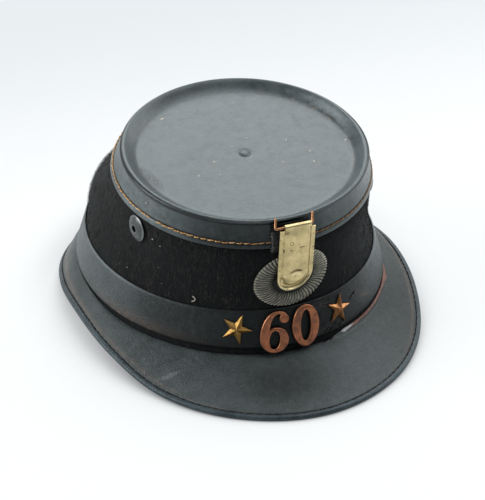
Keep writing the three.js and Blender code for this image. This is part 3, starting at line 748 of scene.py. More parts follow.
def makeTop():
    profile, oval = leatherTop["profile"], topPlace["oval"]
    crestRing = max(range(len(profile)), key=lambda ring: profile[ring][1])
    rings = []
    for count, (radius, height, flare) in enumerate(profile):
        setBack = flare * topPlace["backFlare"] / 2
        drawnIn = min(max(1 - 0.35 * (count - crestRing), 0), 1) * rampUp(radius, 45, 59)
        wide = radius - leatherTop["sideDraw"] * drawnIn
        rings.append(hoop(wide, radius * oval + setBack, setBack, height))
    piece = ringPiece("leatherTop", rings, leatherTop["sides"], start=True, end=True)
    smooth(piece, 2)
    dented(piece, "topDents", leatherTop["dentSize"], leatherTop["unevenness"])
    x, y, z = corners(piece).T
    angle = np.degrees(np.arctan2(x, -y))
    reach = np.hypot(x, y / oval)
    drawn = np.hypot(x * leatherTop["drawnShare"], y / oval)  # the same where the sides are drawn in
    crest, outside = leatherTop["crest"], reach > leatherTop["skirtFrom"]
    floorWear = (0.36 + 0.1 * rampUp(x, 20, 50)) * bell(drawn, leatherTop["floorEdge"], 1.1) * (z < -1)
    hemWear = 0.55 * bell(z, leatherTop["hem"], 0.45) * outside
    crestWear = 0.5 * bell(drawn, crest, 0.5) * (z > 0.4) * bell(angle, -25, 28)
    mark(piece, "wear", floorWear + hemWear + crestWear)
    skirt = (z < -1.2) & outside
    # painted shade in the groove above the stitches
    seam = 0.85 * bell(z, leatherTop["stitchHeight"] + 0.35, 0.7) * skirt
    # painted shade in the ring groove round the boss
    aroundBoss = 0.5 * bell(reach, 3.3, 0.55) * (z > -4.5)
    # painted shade over the skirt's front
    front = 0.7 * rampUp(angle, -72, -26) * rampUp(-angle, -30, -6) * skirt
    # painted shade under the crest, on the bead's outer face and between the wire's legs
    underCrest = 0.45 * bell(z, -1.2, 0.8) * (reach > 66.5)
    outerFace = 0.75 * rampUp(drawn, crest, crest + 1) * (z > -1.9)
    middle, half = leatherTop["betweenLegs"]
    betweenLegs = (np.abs(x - middle) < half) * (y < 0)
    inWire = 0.9 * betweenLegs * bell(z, -1.6, 1.9) * rampUp(drawn, crest, crest + 0.8)
    neck = np.maximum(np.maximum(underCrest, outerFace), inWire)
    # painted shade over the far right of the floor
    farRight = 0.17 * rampUp(0.6 * x + 0.8 * y, 0, 46) * (reach < 60)
    # painted shade on the left wall of the cove
    wall = rampUp(drawn, 60.8, 62) * rampUp(-drawn, -67.2, -66) * (z > -6)
    leftWall = 0.3 * rampUp(-angle, 60, 105) * wall
    mark(piece, "shadeAndGrime", np.clip(seam + aroundBoss + front + neck + farRight + leftWall, 0, 0.9))
    # painted highlight on the skirt's sides and on the cove's right wall
    sides = 0.75 * bell(angle, -76, 30) + 1.3 * bell(angle, 68, 32)
    rightWall = 0.8 * bell(angle, 108, 26) * wall
    mark(piece, "dust", sides * (z < -2.6) * skirt + rightWall)
    crackX, crackY, crackLong, crackWide, crackTurn = leatherTop["crackle"]
    along, across = turned(x, y, (crackX, crackY), crackTurn)
    crackled = np.clip(1.5 - np.hypot(along / crackLong, across / crackWide), 0, 1)
    mark(piece, "crack", crackled * (z > -4.5))
    settle(piece, topLeather, "top_leather", "crown_top", seat=topSeat)


makeTop()


# A stitch: a short thread that dips at both ends
def stitchShape(sides=6):
    half = [(-1, 0.25, -0.9), (-0.75, 0.85, 0.1), (-0.25, 1, 0.5)]  # place along, girth, rise
    stations = half + [(-along, girth, rise) for along, girth, rise in half[::-1]]
    points = []
    for along, girth, rise in stations:
        for side in range(sides):
            turn = 2 * math.pi * side / sides
            points.append((along, girth * math.cos(turn), girth * math.sin(turn) + rise))
    faces = [tuple(range(sides))[::-1]]
    for station in range(len(stations) - 1):
        for side in range(sides):
            after = (side + 1) % sides
            low, high = station * sides, (station + 1) * sides
            faces.append((low + side, low + after, high + after, high + side))
    faces.append(tuple(range((len(stations) - 1) * sides, len(stations) * sides)))
    return np.array(points), faces


def stitchFrames(point, along, up, out, length, girth, slant, lift):
    run = unit(along * math.cos(slant) + up * math.sin(slant))
    length = np.asarray(length).reshape(-1, 1)
    return placed(run * length, np.cross(out, run) * girth, out * girth, point + out * lift)


def makeSkirtStitches():
    angle = allRound(leatherTop["stitches"])
    lost = (np.degrees(angle) > -64) & (np.degrees(angle) < -61)  # two stitches have gone
    angle = angle[~lost]
    height = leatherTop["stitchHeight"] + dice.normal(0, 0.08, len(angle))
    girth = 0.42 - 0.12 * rampUp(np.degrees(angle), -48, -12)[:, None]  # finer towards the right

    def surface(angle, step):
        radius = leatherTop["stitchRadius"] + 0.4 * (leatherTop["stitchHeight"] - (height + step))
        return topPoint(angle, radius, height + step, leatherTop["stitchFlare"] - 0.08 * step)

    point, along, up, out = surfaceFrame(surface, angle, 0, 0.2)
    frames = stitchFrames(point, along, up, out, dice.normal(1.84, 0.12, len(angle)), girth, 0.09, 0.02)
    piece = scatter("skirtStitches", *stitchShape(), frames)
    settle(piece, orangeThread, "top_leather", seat=topSeat)


makeSkirtStitches()


# Head band: a leather strip with softened edges
headBand = {
    "section": [  # level on the wall, distance out
        (1, 0.35), (0.995, 0.7), (1.005, 1.1), (1.04, 1.4), (1.1, 1.55), (1.25, 1.62), (1.5, 1.62),
        (1.8, 1.58), (1.955, 1.52), (1.99, 1.35), (2, 1), (2, 0.4), (1.5, 0.35),
    ],
    "sides": 96,
    "spots": {  # strength, angle and its width, rise and its width
        "tan": [(0.6, -64, 22, 0.1, 0.2)],
        "wear": [(0.3, -66, 17, 0.06, 0.1), (0.25, 0, math.inf, 0, 0.05)],
        # painted shade over the front and along the foot above the brim
        "shadeAndGrime": [(0.42, 0, 15, 0, math.inf), (0.45, -10, 45, 0.02, 0.14)],
        "flake": [(0.75, 29, 4, 0.72, 0.1), (0.675, 13, 4, 0.85, 0.12), (0.825, 16, 5, 0.1, 0.16)],
        # painted highlight on the left side, the right end and the upper edge
        "dust": [(0.45, -95, 25, 0, math.inf), (0.35, 62, 18, 0, math.inf), (0.85, 86, 15, 0, math.inf)],
    },
}


def makeBand():
    rings = [wallRing(level, outset) for level, outset in headBand["section"]]
    piece = ringPiece("headBand", rings + rings[:1], headBand["sides"])
    smooth(piece, 2)
    x, y, z = corners(piece).T
    angle, _ = aroundBand(x, y)
    rise = z / feltWall["rows"][2][0]
    extra = {
        "tan": 0.7 * bell(angle, 36, 3.5) * bell(rise, 0.42 - 0.02 * (angle - 36), 0.07),  # slanting smear
        # painted shade all over the front
        "shadeAndGrime": 0.7 * rampUp(-np.abs(angle + 12), -74, -36),  # all over the front
        # painted highlight along the upper edge
        "dust": 0.9 * bell(rise, 1, 0.045) * rampUp(np.abs(angle), 15, 50),  # upper edge
    }
    for name, rows in headBand["spots"].items():
        mark(piece, name, softSpots(rows, angle, rise) + extra.get(name, 0))
    settle(piece, bandLeather, "leather", "head_band")


makeBand()


# Brim and its binding, swept round the band's foot
brimShape = {
    "rows": [  # angle from the front, reach out, drop
        (0, 41, 18.7), (20, 36.5, 18.7), (40, 28, 17.2), (60, 18.6, 10.8), (80, 12.4, 7.6), (100, 10.2, 11.5),
        (120, 9, 16.8), (140, 6, 18.6), (160, 5.4, 19.2), (180, 5.4, 19.4),
    ],
    "root": (-1.2, -4.5), "dip": 5, "half": 1.0, "columns": 600, "rings": 40,
    "ridgeFrom": 19, "ridgeTo": 68, "ridgeRise": 1.9, "closedFrom": 60, "closedTo": 104, "closedRise": 3.3,
    "closedReach": 8,
    "spots": {  # strength, angle and its width, distance out and its width
        "wear": [(0.9, 60, 4, 0.6, 1.7)],
        # painted highlight at the start of the ridge
        "pale": [(0.9, 22.5, 3.2, 0, 0.9)],
        "flake": [(0.9, 14, 4.5, -0.5, 1.8)],
        "dust": [(0.42, -50, 16, 0, math.inf)],
        # painted shade over the front, over the right side and along the foot by the band
        "shadeAndGrime": [(0.66, -8, 18, 19, 16), (0.6, 50, 36, 0, math.inf), (0.5, -30, 40, -1, 2.2)],
    },
    "smudges": [  # middle, half length, half width, turn in degrees, strength
        (-66, -89.3, 5.5, 1.3, -4, 0.85), (-50, -88, 7, 0.9, -75, 0.6), (-56, -86, 5, 0.8, -60, 0.45),
        (59.4, -84.5, 5, 0.7, 42, 0.6), (52, -93, 4, 0.6, 50, 0.4), (-40, -97, 6, 0.8, -30, 0.4),
    ],
    "tongue": [(3.6, 0.98), (3.45, 0.85), (3.3, 0.62), (2.5, 0.6), (1.4, 0.6)],  # edge inside the binding
    "bindingLeg": 3.1, "bindingInner": 0.75, "bindingOuter": 1.6, "bindingWear": (0.4125, 0.495, 0.33),
    "restLevel": -19.3,
    "stitches": 170, "stitchInset": 3.25, "stitchRise": 1.02,
}


def brimEdge(angle):
    rows = np.array(brimShape["rows"])
    around = np.degrees(np.abs((np.asarray(angle) + math.pi) % (2 * math.pi) - math.pi)) / 20
    low = np.clip(around.astype(int), 0, len(rows) - 2)
    share = (around - low)[..., None]

    def row(step):
        index = np.abs(low + step)
        index = np.where(index > len(rows) - 1, 2 * (len(rows) - 1) - index, index)
        return rows[index][..., 1:]

    return flowing(row, share)


def brimLine(angle):  # root, middle, edge and directions of the brim's section at each angle
    reach, drop = np.moveaxis(brimEdge(angle), -1, 0)
    root = np.broadcast_to(np.array(brimShape["root"]), reach.shape + (2,))
    tip = np.stack([reach, -drop], -1)
    along = unit(tip - root)
    dip = -math.radians(brimShape["dip"])
    along = np.stack([along[..., 0] * math.cos(dip) - along[..., 1] * math.sin(dip),
                      along[..., 0] * math.sin(dip) + along[..., 1] * math.cos(dip)], -1)
    up = np.stack([-along[..., 1], along[..., 0]], -1)
    inner = tip - along * 4.6
    crown = math.sin(-dip) * np.linalg.norm(tip - root, axis=-1, keepdims=True) / 4
    middle = (inner + root) / 2 + up * crown
    return root, middle, inner, tip, along, up


def inBrimPlane(angle, flat):  # section points as reach and height, to the hat
    foot = wallPoint(angle, np.ones_like(angle), feltWall["bandOutset"])
    _, halfWidth, _, halfLength, _ = feltWall["rows"][1]
    outward = unit(np.stack([halfLength * np.sin(angle), -halfWidth * np.cos(angle), 0 * angle], -1))
    points = foot[:, None] + outward[:, None] * flat[..., :1]
    points[..., 2] = flat[..., 1]
    return points


def brimCurve(angle, share):  # smooth line from the root to the start of the binding
    root, middle, inner = brimLine(angle)[:3]
    control = 2 * middle - (root + inner) / 2
    share = share[..., None]
    line = curved(root, control, inner, share)
    run = unit(2 * (control - root) * (1 - share) + 2 * (inner - control) * share)
    return line, np.stack([-run[..., 1], run[..., 0]], -1)


def makeBrim():
    angle = allRound(brimShape["columns"])
    degrees = np.degrees(angle)
    begin, end, half = brimShape["ridgeFrom"], brimShape["ridgeTo"], brimShape["half"]
    ridge = rampUp(degrees, begin - 6, begin + 4) * rampUp(-degrees, -end - 4, -end + 6)
    closed = brimShape["closedRise"] * rampUp(np.abs(degrees), brimShape["closedFrom"], brimShape["closedTo"])
    tip, along, up = brimLine(angle)[3:]
    root, _ = brimCurve(angle, np.zeros_like(angle))
    upper, lower = [], []
    for share in np.linspace(0, 1, brimShape["rings"]) ** 1.3:
        line, normal = brimCurve(angle, np.full_like(angle, share))
        distance = np.linalg.norm(line - root, axis=-1)
        roll = half * np.minimum(1, 0.35 + distance / 0.8)  # rounded inner edge
        top = line + normal * roll[:, None]
        top[:, 1] += brimShape["ridgeRise"] * ridge * bell(distance, 1, 0.95)
        top[:, 1] += closed * bell(distance, 0, brimShape["closedReach"])
        upper.append(top)
        lower.append(line - normal * half)
    for inwards, thick in brimShape["tongue"]:
        upper.append(tip - along * inwards + up * thick)
        lower.append(tip - along * inwards - up * thick)
    piece = wrapGrid("brimLeather", inBrimPlane(angle, np.stack(upper + lower[::-1], axis=1)))
    x, y, _ = corners(piece).T
    degrees, out = aroundBand(x, y)
    edge = brimEdge(np.radians(degrees))[:, 0] - out  # distance in from the edge
    onRidge = rampUp(degrees, begin - 2, begin + 5) * rampUp(-degrees, -end - 2, -end + 4)
    aside = 0.3 + 0.7 * rampUp(np.abs(degrees), 28, 60)
    mark(piece, "tan", aside * (0.75 * bell(edge, 3.6, 0.9) + 0.12 * np.exp(-np.clip(edge - 4, 0, 99) / 5)))
    smudged = 0
    for smudgeX, smudgeY, length, width, turn, strength in brimShape["smudges"]:
        alongIt, acrossIt = turned(x, y, (smudgeX, smudgeY), math.radians(turn))
        smudged += strength * bell(alongIt, 0, length) * bell(acrossIt, 0, width)
    extra = {
        "wear": 1.1 * onRidge * bell(out, -0.1, 0.95) + 0.22 * aside * bell(edge, 3.7, 0.7),
        # paler along the ridge, and a scratch
        "pale": 0.3 * onRidge * bell(out, 0.4, 0.5) + bell(x, -51.5, 0.9) * bell(y, -119.6, 0.9),
        "dust": smudged,
    }
    for name, rows in brimShape["spots"].items():
        mark(piece, name, softSpots(rows, degrees, out) + extra.get(name, 0))
    settle(piece, brimLeather, "leather", "brim")


makeBrim()


def makeBinding():
    angle = allRound(brimShape["columns"])
    tip, along, up = brimLine(angle)[3:]
    inner, outer, leg = brimShape["bindingInner"], brimShape["bindingOuter"], brimShape["bindingLeg"]
    upper = [  # distance in from the edge, height over the middle
        (1.15, inner), (2.2, inner), (leg - 0.1, inner), (leg + 0.1, inner + 0.2), (leg + 0.02, outer - 0.5),
        (leg - 0.35, outer - 0.2), (2.3, outer), (outer, outer),
    ]
    for turn in np.linspace(0.3, math.pi / 2, 6)[:-1]:
        upper.append((outer - outer * math.sin(turn), outer * math.cos(turn)))
    flat = upper + [(0, 0)] + [(inwards, -above) for inwards, above in upper[::-1]]
    section = [tip - along * inwards + up * above for inwards, above in flat]
    points = inBrimPlane(angle, np.stack(section, axis=1))
    points[..., 2] = np.maximum(points[..., 2], brimShape["restLevel"])
    wear = np.zeros(len(flat))
    wear[3:6] = brimShape["bindingWear"]  # on the cut edge of the upper leg
    piece = wrapGrid("brimBinding", points, wear=wear)
    settle(piece, bindingLeather, "leather", "brim_binding")


makeBinding()


def makeBindingStitches():
    angle, inset = allRound(brimShape["stitches"]), brimShape["stitchInset"]

    def seam(angle, inwards):
        tip, along, up = brimLine(angle)[3:]
        return inBrimPlane(angle, (tip - along * inwards + up * brimShape["stitchRise"])[:, None])[:, 0]

    point = seam(angle, inset)
    run = unit(seam(angle + 0.01, inset) - point)
    out = unit(np.cross(run, seam(angle, inset + 1) - point))
    out *= np.sign(out[:, 2:3])
    length = dice.normal(1.75, 0.35, len(angle))
    frames = stitchFrames(point, run, np.cross(out, run), out, length, 0.26, 0, 0)
    piece = scatter("bindingStitches", *stitchShape(), frames)
    settle(piece, darkThread, "leather")


makeBindingStitches()


# Ventilators: domed discs with a small hole
def makeVents():
    for name, cadName, angle in vents["places"]:
        rings = [hoop(radius, radius, z=height) for radius, height in vents["profile"]]
        piece = ringPiece(name, rings + rings[:1], 48)
        smooth(piece, 1)
        x, y, z = corners(piece).T
        reach = np.hypot(x, y)
        # painted highlight on the outer rim and the hole's lip
        mark(piece, "paintedHighlight", 0.75 * bell(reach, 6.9, 0.5) + 0.7 * bell(reach, 2.3, 0.3) * (z > 2))
        # painted shade inside the hole, and darker round it
        inHole = (reach < 2.05) & (z < 1.9)
        mark(piece, "low", np.where(inHole, 1, 0.6 * bell(reach, 3.3, 0.7) * (z > 0)))
        seat = seatOn(wallPoint, angle, vents["level"], vents["reach"])
        turn = Matrix.Rotation(math.copysign(math.radians(vents["turn"]), angle), 4, "Y")
        settle(piece, blackPaint, "paint", cadName, seat=seat @ turn)


makeVents()


# Cockade: oval rosette of twisted flutes
cockade = {
    "angle": 1.2, "level": 3.9, "reach": 1.6, "turn": 12, "halfWidth": 21.2, "halfHeight": 14.9, "flutes": 60,
    "bend": 66, "fluteHeight": 0.45, "fluteFrom": 0.47, "twist": 0.16, "scallop": 0.008,
    "profile": [  # share of the way out, height
        (0, 0.9), (0.3, 0.75), (0.47, 0.6), (0.56, 1.0), (0.7, 1.45), (0.84, 1.6), (0.93, 1.35), (1, 0.85),
    ],
}


def makeCockade():
    wide, high, flutes = cockade["halfWidth"], cockade["halfHeight"], cockade["flutes"]
    bedTurn = math.radians(cockade["turn"])

    def ground(share):
        return np.interp(share, *zip(*cockade["profile"]))

    def fluting(share):  # the flutes begin outside the hub
        return np.clip((share - cockade["fluteFrom"]) / 0.1, 0, 1)

    def sag(x, y):  # the bed falls away to the sides
        return (x * math.cos(bedTurn) - y * math.sin(bedTurn)) ** 2 / (2 * cockade["bend"])

    def laid(size, swirl, height):
        x, y = wide * size * np.sin(swirl), high * size * np.cos(swirl)
        return np.stack([x, y, height - sag(x, y)], -1)

    turn = np.linspace(0, 2 * math.pi, flutes * 8, endpoint=False)
    wave = np.abs(np.cos(flutes * turn / 2)) - 0.5
    rows = []
    for share in np.linspace(0, 1, 28) ** 0.75:
        swirl = turn + cockade["twist"] * (share + 0.25 * math.sin(6.3 * share))
        ribs = wave * fluting(share)
        size = share * (1 + cockade["scallop"] * ribs * 2)
        rows.append(laid(size, swirl, ground(share) + cockade["fluteHeight"] * ribs))
    for share, height in ((0.99, 0.4), (0.9, 0.25), (0.4, 0.25), (0, 0.25)):  # flat back
        rows.append(laid(share, turn + cockade["twist"], height))
    piece = wrapGrid("cockade", rows, closeRows=False)
    x, y, z = corners(piece).T
    share, turn = np.hypot(x / wide, y / high), np.arctan2(x / wide, y / high)
    depth = z - ground(share) + sag(x, y)
    fluted = fluting(share)
    # painted shade in the flute valleys; darker inner zone and hub
    valley = np.clip(0.3 - depth * 2.2, 0, 0.6) + 0.5 * rampUp(-share, -0.76, -0.54)
    mark(piece, "low", np.clip(fluted * valley + (1 - fluted), 0, 1))
    # painted highlight on the flute crests and the outer rim
    tone = 0.45 + 0.3 * np.sin(7 * turn + 5 * share) * np.sin(11 * turn)
    tone += 0.2 * np.sin(29 * turn + 21 * share)
    ribShine = fluted * np.clip((depth - 0.02) * 5, 0, 1) * tone
    mark(piece, "paintedHighlight", np.clip(ribShine + 0.7 * bell(share, 0.985, 0.02), 0, 1))
    seat = seatOn(wallPoint, cockade["angle"], cockade["level"], cockade["reach"], cockade["turn"])
    settle(piece, darkBronze, "bronze", "cockade", seat=seat, sharp=60)


makeCockade()


# Numerals: plain cast figures with rounded edges
numerals = {
    "places": [
        ("numeralLeft", "numeral_left", "six", -7.4, 0.43, -8),
        ("numeralRight", "numeral_right", "nought", 4.3, 0.46, -7),
    ],
    "halfWidth": 7.8, "halfHeight": 11.5, "depth": 2.2, "bevel": 0.55,
}


def ovalLoop(x, y, wide, high):
    pull = 0.5523
    spots = [(1, 0), (0, 1), (-1, 0), (0, -1)]
    loop = []
    for k, (a, b) in enumerate(spots):
        c, d = spots[(k + 1) % 4]
        first = (x + wide * (a + pull * c), y + high * (b + pull * d))
        second = (x + wide * (c + pull * a), y + high * (d + pull * b))
        loop.append(((x + wide * a, y + high * b), first, second))
    return loop


def sixLoops(w, h):
    ball = (0.55 * w, 0.66 * h, 0.32 * w)
    turns = [math.radians(140 + 70 * k) for k in range(5)]
    pull = 4 / 3 * math.tan(math.radians(70) / 4)
    rim = [(ball[0] + ball[2] * math.cos(turn), ball[1] + ball[2] * math.sin(turn)) for turn in turns]

    def tangent(k, sign):
        away = sign * pull * ball[2]
        return rim[k][0] - away * math.sin(turns[k]), rim[k][1] + away * math.cos(turns[k])

    loop = [
        ((0, -h), (0.6 * w, -h), (w, -0.72 * h)),
        ((w, -0.37 * h), (w, -0.02 * h), (0.62 * w, 0.22 * h)),
        ((0.18 * w, 0.22 * h), (-0.08 * w, 0.22 * h), (-0.26 * w, 0.16 * h)),
        ((-0.38 * w, 0.06 * h), (-0.38 * w, 0.48 * h), (-0.2 * w, 0.86 * h)),
        ((0.2 * w, 0.87 * h), (0.22 * w, 0.87 * h), (0.28 * w, 0.82 * h)),
    ]
    loop += [(rim[k], tangent(k, 1), tangent(k + 1, -1)) for k in range(4)]
    loop += [
        (rim[4], (0.6 * w, 0.95 * h), (0.42 * w, h)),
        ((0.2 * w, h), (-0.54 * w, h), (-w, 0.45 * h)),
        ((-w, -0.22 * h), (-w, -0.7 * h), (-0.56 * w, -h)),
    ]
    return [loop, ovalLoop(0.03 * w, -0.39 * h, 0.37 * w, 0.44 * h)]


def noughtLoops(w, h):
    return [ovalLoop(0, 0, w, h), ovalLoop(0, 0, 0.38 * w, 0.74 * h)]


def makeNumerals():
    outlines = {"six": sixLoops, "nought": noughtLoops}
    bevel = numerals["bevel"]
    for name, cadName, digit, angle, rise, turn in numerals["places"]:
        curve = bpy.data.curves.new(name, "CURVE")
        curve.dimensions = "2D"
        curve.fill_mode = "BOTH"
        for loop in outlines[digit](numerals["halfWidth"], numerals["halfHeight"]):
            spline = curve.splines.new("BEZIER")
            spline.bezier_points.add(len(loop) - 1)
            spline.use_cyclic_u = True
            for k, (spot, after, before) in enumerate(loop):
                point, following = spline.bezier_points[k], spline.bezier_points[(k + 1) % len(loop)]
                point.handle_left_type = point.handle_right_type = "FREE"
                following.handle_left_type = "FREE"
                point.co = (*spot, 0)
                point.handle_right = (*after, 0)
                following.handle_left = (*before, 0)
        curve.resolution_u = 10
        curve.extrude = numerals["depth"] / 2 - bevel
        curve.bevel_depth = bevel
        curve.bevel_resolution = 3
        curve.offset = -bevel
        piece = meshFrom(curve)
        piece.data.transform(Matrix.Translation((0, 0, numerals["depth"] / 2)))
        _, y, z = corners(piece).T
        # darker towards the top of the figure
        darkening = 0.25 * np.clip(0.3 + y / numerals["halfHeight"], 0, 1)
        # painted shade where the figure meets the band; painted highlight on the face's edge
        mark(piece, "low", 0.7 * np.clip(1 - z / 1.3, 0, 1) + darkening)
        mark(piece, "paintedHighlight", 0.75 * bell(z, 1.88, 0.22))
        settle(piece, dullCopper, "copper", cadName, seat=seatOn(bandPoint, angle, rise, turn=turn), sharp=50)


makeNumerals()


# Stars: five ridged rays
stars = {
    "places": [("starLeft", "star_left", -21.1, 0.53, -22), ("starRight", "star_right", 20, 0.52, -18)],
    "tip": 8.7, "notch": 3.4, "rim": 0.5, "peak": 2.7, "bevel": 0.16,
}


def makeStars():
    for name, cadName, angle, rise, turn in stars["places"]:
        deselect()
        height = stars["peak"] - stars["rim"]
        bpy.ops.mesh.primitive_cone_add(vertices=10, radius1=stars["tip"], radius2=0, depth=height)
        piece = named(name)
        edit()
        bpy.ops.mesh.select_mode(type="VERT")
        bpy.ops.mesh.select_all(action="SELECT")
        bpy.ops.transform.translate(value=(0, 0, height / 2 + stars["rim"]))
        bpy.ops.mesh.select_all(action="DESELECT")
        done()
        for vertex in piece.data.vertices:  # every second corner is a notch
            place = round(math.degrees(math.atan2(vertex.co.x, vertex.co.y)) / 36)
            vertex.select = vertex.co.xy.length > 1 and place % 2 == 1
        share = stars["notch"] / stars["tip"]
        edit()
        bpy.ops.transform.resize(value=(share, share, 1), center_override=(0, 0, stars["rim"]))
        bpy.ops.mesh.select_all(action="DESELECT")
        done()
        for polygon in piece.data.polygons:
            polygon.select = polygon.normal.z < -0.9
        edit()
        bpy.ops.mesh.select_mode(type="FACE")
        bpy.ops.mesh.extrude_region_move(TRANSFORM_OT_translate={"value": (0, 0, -stars["rim"])})
        bpy.ops.mesh.select_mode(type="EDGE")
        bpy.ops.mesh.select_all(action="SELECT")
        bpy.ops.mesh.bevel(offset=stars["bevel"], segments=2, affect="EDGES", clamp_overlap=True)
        done()
        mergeUp(piece)
        apply(piece, "TRIANGULATE")
        apply(piece, "SUBSURF", subdivision_type="SIMPLE", levels=2, render_levels=2)
        # painted shade round the base of the star
        mark(piece, "low", 0.7 * np.clip(1 - corners(piece)[:, 2] / 0.6, 0, 1))
        finish = brownBrass if name == "starRight" else starBrass
        settle(piece, finish, "star_brass", cadName, seat=seatOn(bandPoint, angle, rise, turn=turn), sharp=30)


makeStars()


# Wire staple that carries the plate
wire = {
    "radius": 0.78, "shift": 1.2, "halfSpan": 10.3, "barY": -92.7, "barZ": 68.3, "entryY": -88.6,
    "entryZ": 72.4, "lean": 1.45, "bend": 0.9,
}


def makeWire():
    y, z, span, bend = wire["barY"], wire["barZ"], wire["halfSpan"], wire["bend"]
    share = np.linspace(0, 1, 8)[:, None]
    turn = curved((span, y, z + bend), (span, y, z), (span - bend, y, z), share)
    entry = np.array([0, wire["entryY"], wire["entryZ"]])  # over the crest and into the leather
    over = curved(entry + (0, -1, -1.2), entry + (0, -0.3, 0.5), entry + (0, 1.3, -2.2), share)
    left, right = over + (wire["lean"] - span, 0, 0), over + (wire["lean"] + span, 0, 0)
    path = np.concatenate([left[::-1], turn * (-1, 1, 1), turn[::-1], right]) + (wire["shift"], 0, 0)
    path = path[np.append(True, np.linalg.norm(np.diff(path, axis=0), axis=1) > 1e-4)]
    settle(tube("wireLoop", path, wire["radius"]), wireCopper, "copper", "wire_loop")


makeWire()


# Leather tab behind the plate, with a rough cut edge
plumeTab = {
    "rows": [(70.2, -90.3), (68.6, -90.1), (66.4, -89.7), (55.8, -91.8), (54.9, -90.3), (53.9, -90)],
    "shift": 0.1, "halfWidth": 10.3, "thickness": 1.2, "bend": 68, "footArch": 1.5, "rough": 0.45,
}


def makeTab():
    rows, columns = 40, 24
    heights = np.linspace(plumeTab["rows"][0][0], plumeTab["rows"][-1][0], rows)
    knots = np.array(plumeTab["rows"])[::-1]
    backs = np.interp(heights, knots[:, 0], knots[:, 1])
    backs = np.convolve(np.pad(backs, 2, mode="edge"), np.ones(5) / 5, mode="valid")
    across = np.linspace(-1, 1, columns)
    loops = []
    for row in range(rows):
        sides = plumeTab["halfWidth"] + dice.normal(0, plumeTab["rough"], 2)
        x = across * np.where(across < 0, sides[0], sides[1])
        arch = plumeTab["footArch"] * across ** 2 * max(0, (row - rows + 6) / 5)
        swell = plumeTab["thickness"] * np.sqrt(np.clip(1 - np.abs(across) ** 12, 0.05, 1))
        ends = 0.35 if row in (0, rows - 1) else 1
        bow = x ** 2 / (2 * plumeTab["bend"])
        middle = backs[row] - plumeTab["thickness"] / 2 + bow
        place = [x + plumeTab["shift"], middle - ends * swell / 2, heights[row] - arch]
        front = np.stack(np.broadcast_arrays(*place), -1)
        back = front.copy()
        back[:, 1] = middle + ends * swell / 2
        loops.append(np.concatenate([front, back[::-1]]))
    piece = wrapGrid("plumeTab", loops, closeRows=False, capEnds=True)
    x, _, z = corners(piece).T
    mark(piece, "dust", 0.85 * rampUp(np.abs(x - plumeTab["shift"]), 8.4, 10.2))
    # painted shade over the top of the tab, under the bead
    mark(piece, "shadeAndGrime", 0.9 * rampUp(z, 64.5, 66.5))
    settle(piece, tabLeather, "leather", "plume_tab")


makeTab()


# Brass plate: turned-up lip, flat border, groove, raised field and pressed dents, rolled over the wire
plate = {
    "halfWidth": 9.9, "shift": 1.4, "top": -1.15, "straightTo": -28.4, "bottom": -37.4, "front": 1.5,
    "back": 0.7, "skew": 0.2, "lean": 0.047, "border": 2.5, "fieldRise": 0.7, "lip": 0.8, "groove": 0.2,
    "dentX": 0.6, "dentY": -27.5, "dentHalf": (5.2, 3.8), "dentDepth": 1.1,
    "specks": [  # place, size and strength of the brown specks
        (0.2, -20.6, 0.7, 0.6), (0, -29.6, 0.4, 1), (9.4, -13.5, 0.8, 0.7), (9.6, -20, 0.5, 0.7),
        (9.2, -23.4, 0.6, 0.7), (8.9, -5.6, 0.5, 0.7), (-9.5, -6.2, 0.5, 0.7), (-9.3, -17, 0.5, 0.7),
        (-8.9, -24.5, 0.6, 0.7),
    ],
    "rollFrom": -3.9, "rollTo": 10.9, "rollOuter": 1.45, "rollInner": 1.0,
}
plateSeat = Matrix.Translation((0, wire["barY"], wire["barZ"])) @ Matrix.Rotation(math.pi / 2, 4, "X")


def plateHeight(x, y):
    half, rounding = plate["halfWidth"], plate["straightTo"] - plate["bottom"]
    below = np.minimum(y - plate["straightTo"] - plate["skew"] * x, 0)
    reach = np.hypot(x / half, below / rounding)
    slope = np.maximum(np.hypot(x / half ** 2, below / rounding ** 2), 1e-6)
    inside = np.where(below < 0, (1 - reach ** 2) / (2 * slope), half - np.abs(x))
    inside = np.minimum(np.maximum(inside, 0), half - np.abs(x) + 1e-9)  # distance in from the edge
    lip = plate["lip"] * bell(inside, 0.45, 0.75) * np.clip((-25 - y) / 8, 0.2, 1)
    atFoot = rampUp(-y, 29, 34)  # the fold fades out towards the foot
    groove = -plate["groove"] * bell(inside, plate["border"], 0.35) * (1 - 0.8 * atFoot)
    rise = np.clip((inside - plate["border"]) / (0.9 + 2.2 * atFoot), 0, 1) * np.clip((-1 - y) / 5, 0, 1)
    field = plate["fieldRise"] * rise * rise * (3 - 2 * rise) * (1 - 0.85 * atFoot)
    u, v = (x - plate["dentX"]) / plate["dentHalf"][0], (y - plate["dentY"]) / plate["dentHalf"][1]
    bow = v + 0.35 * u ** 2  # place across the crescent of the large dent
    dent = -plate["dentDepth"] * bell(u, 0, 0.55) * rampUp(bow, -1.3, 0.05) * rampUp(-bow, -0.66, -0.02)
    nicks = -0.14 * bell(np.hypot(x + 3.3, y + 9.2), 0.9, 0.25)
    nicks -= 0.11 * bell(np.hypot(x + 6.6, y + 13.2), 0.75, 0.25)
    nicks -= 0.18 * bell(x, 2.8, 2) * bell(y - 0.02 * (x - 2.8) ** 2, -12.2, 0.25)
    nicks -= 0.14 * bell(x, 5.6, 0.18) * bell(y, -4.5, 1.2)
    nicks -= 0.14 * bell(x, -3.4, 0.9) * bell(y, -13.2, 0.5)
    basin = -0.5 * bell(inside, 2.7, 1.2) * rampUp(-y, 27.5, 31.5)
    return lip + groove + field + dent + nicks + basin, inside, bow, nicks


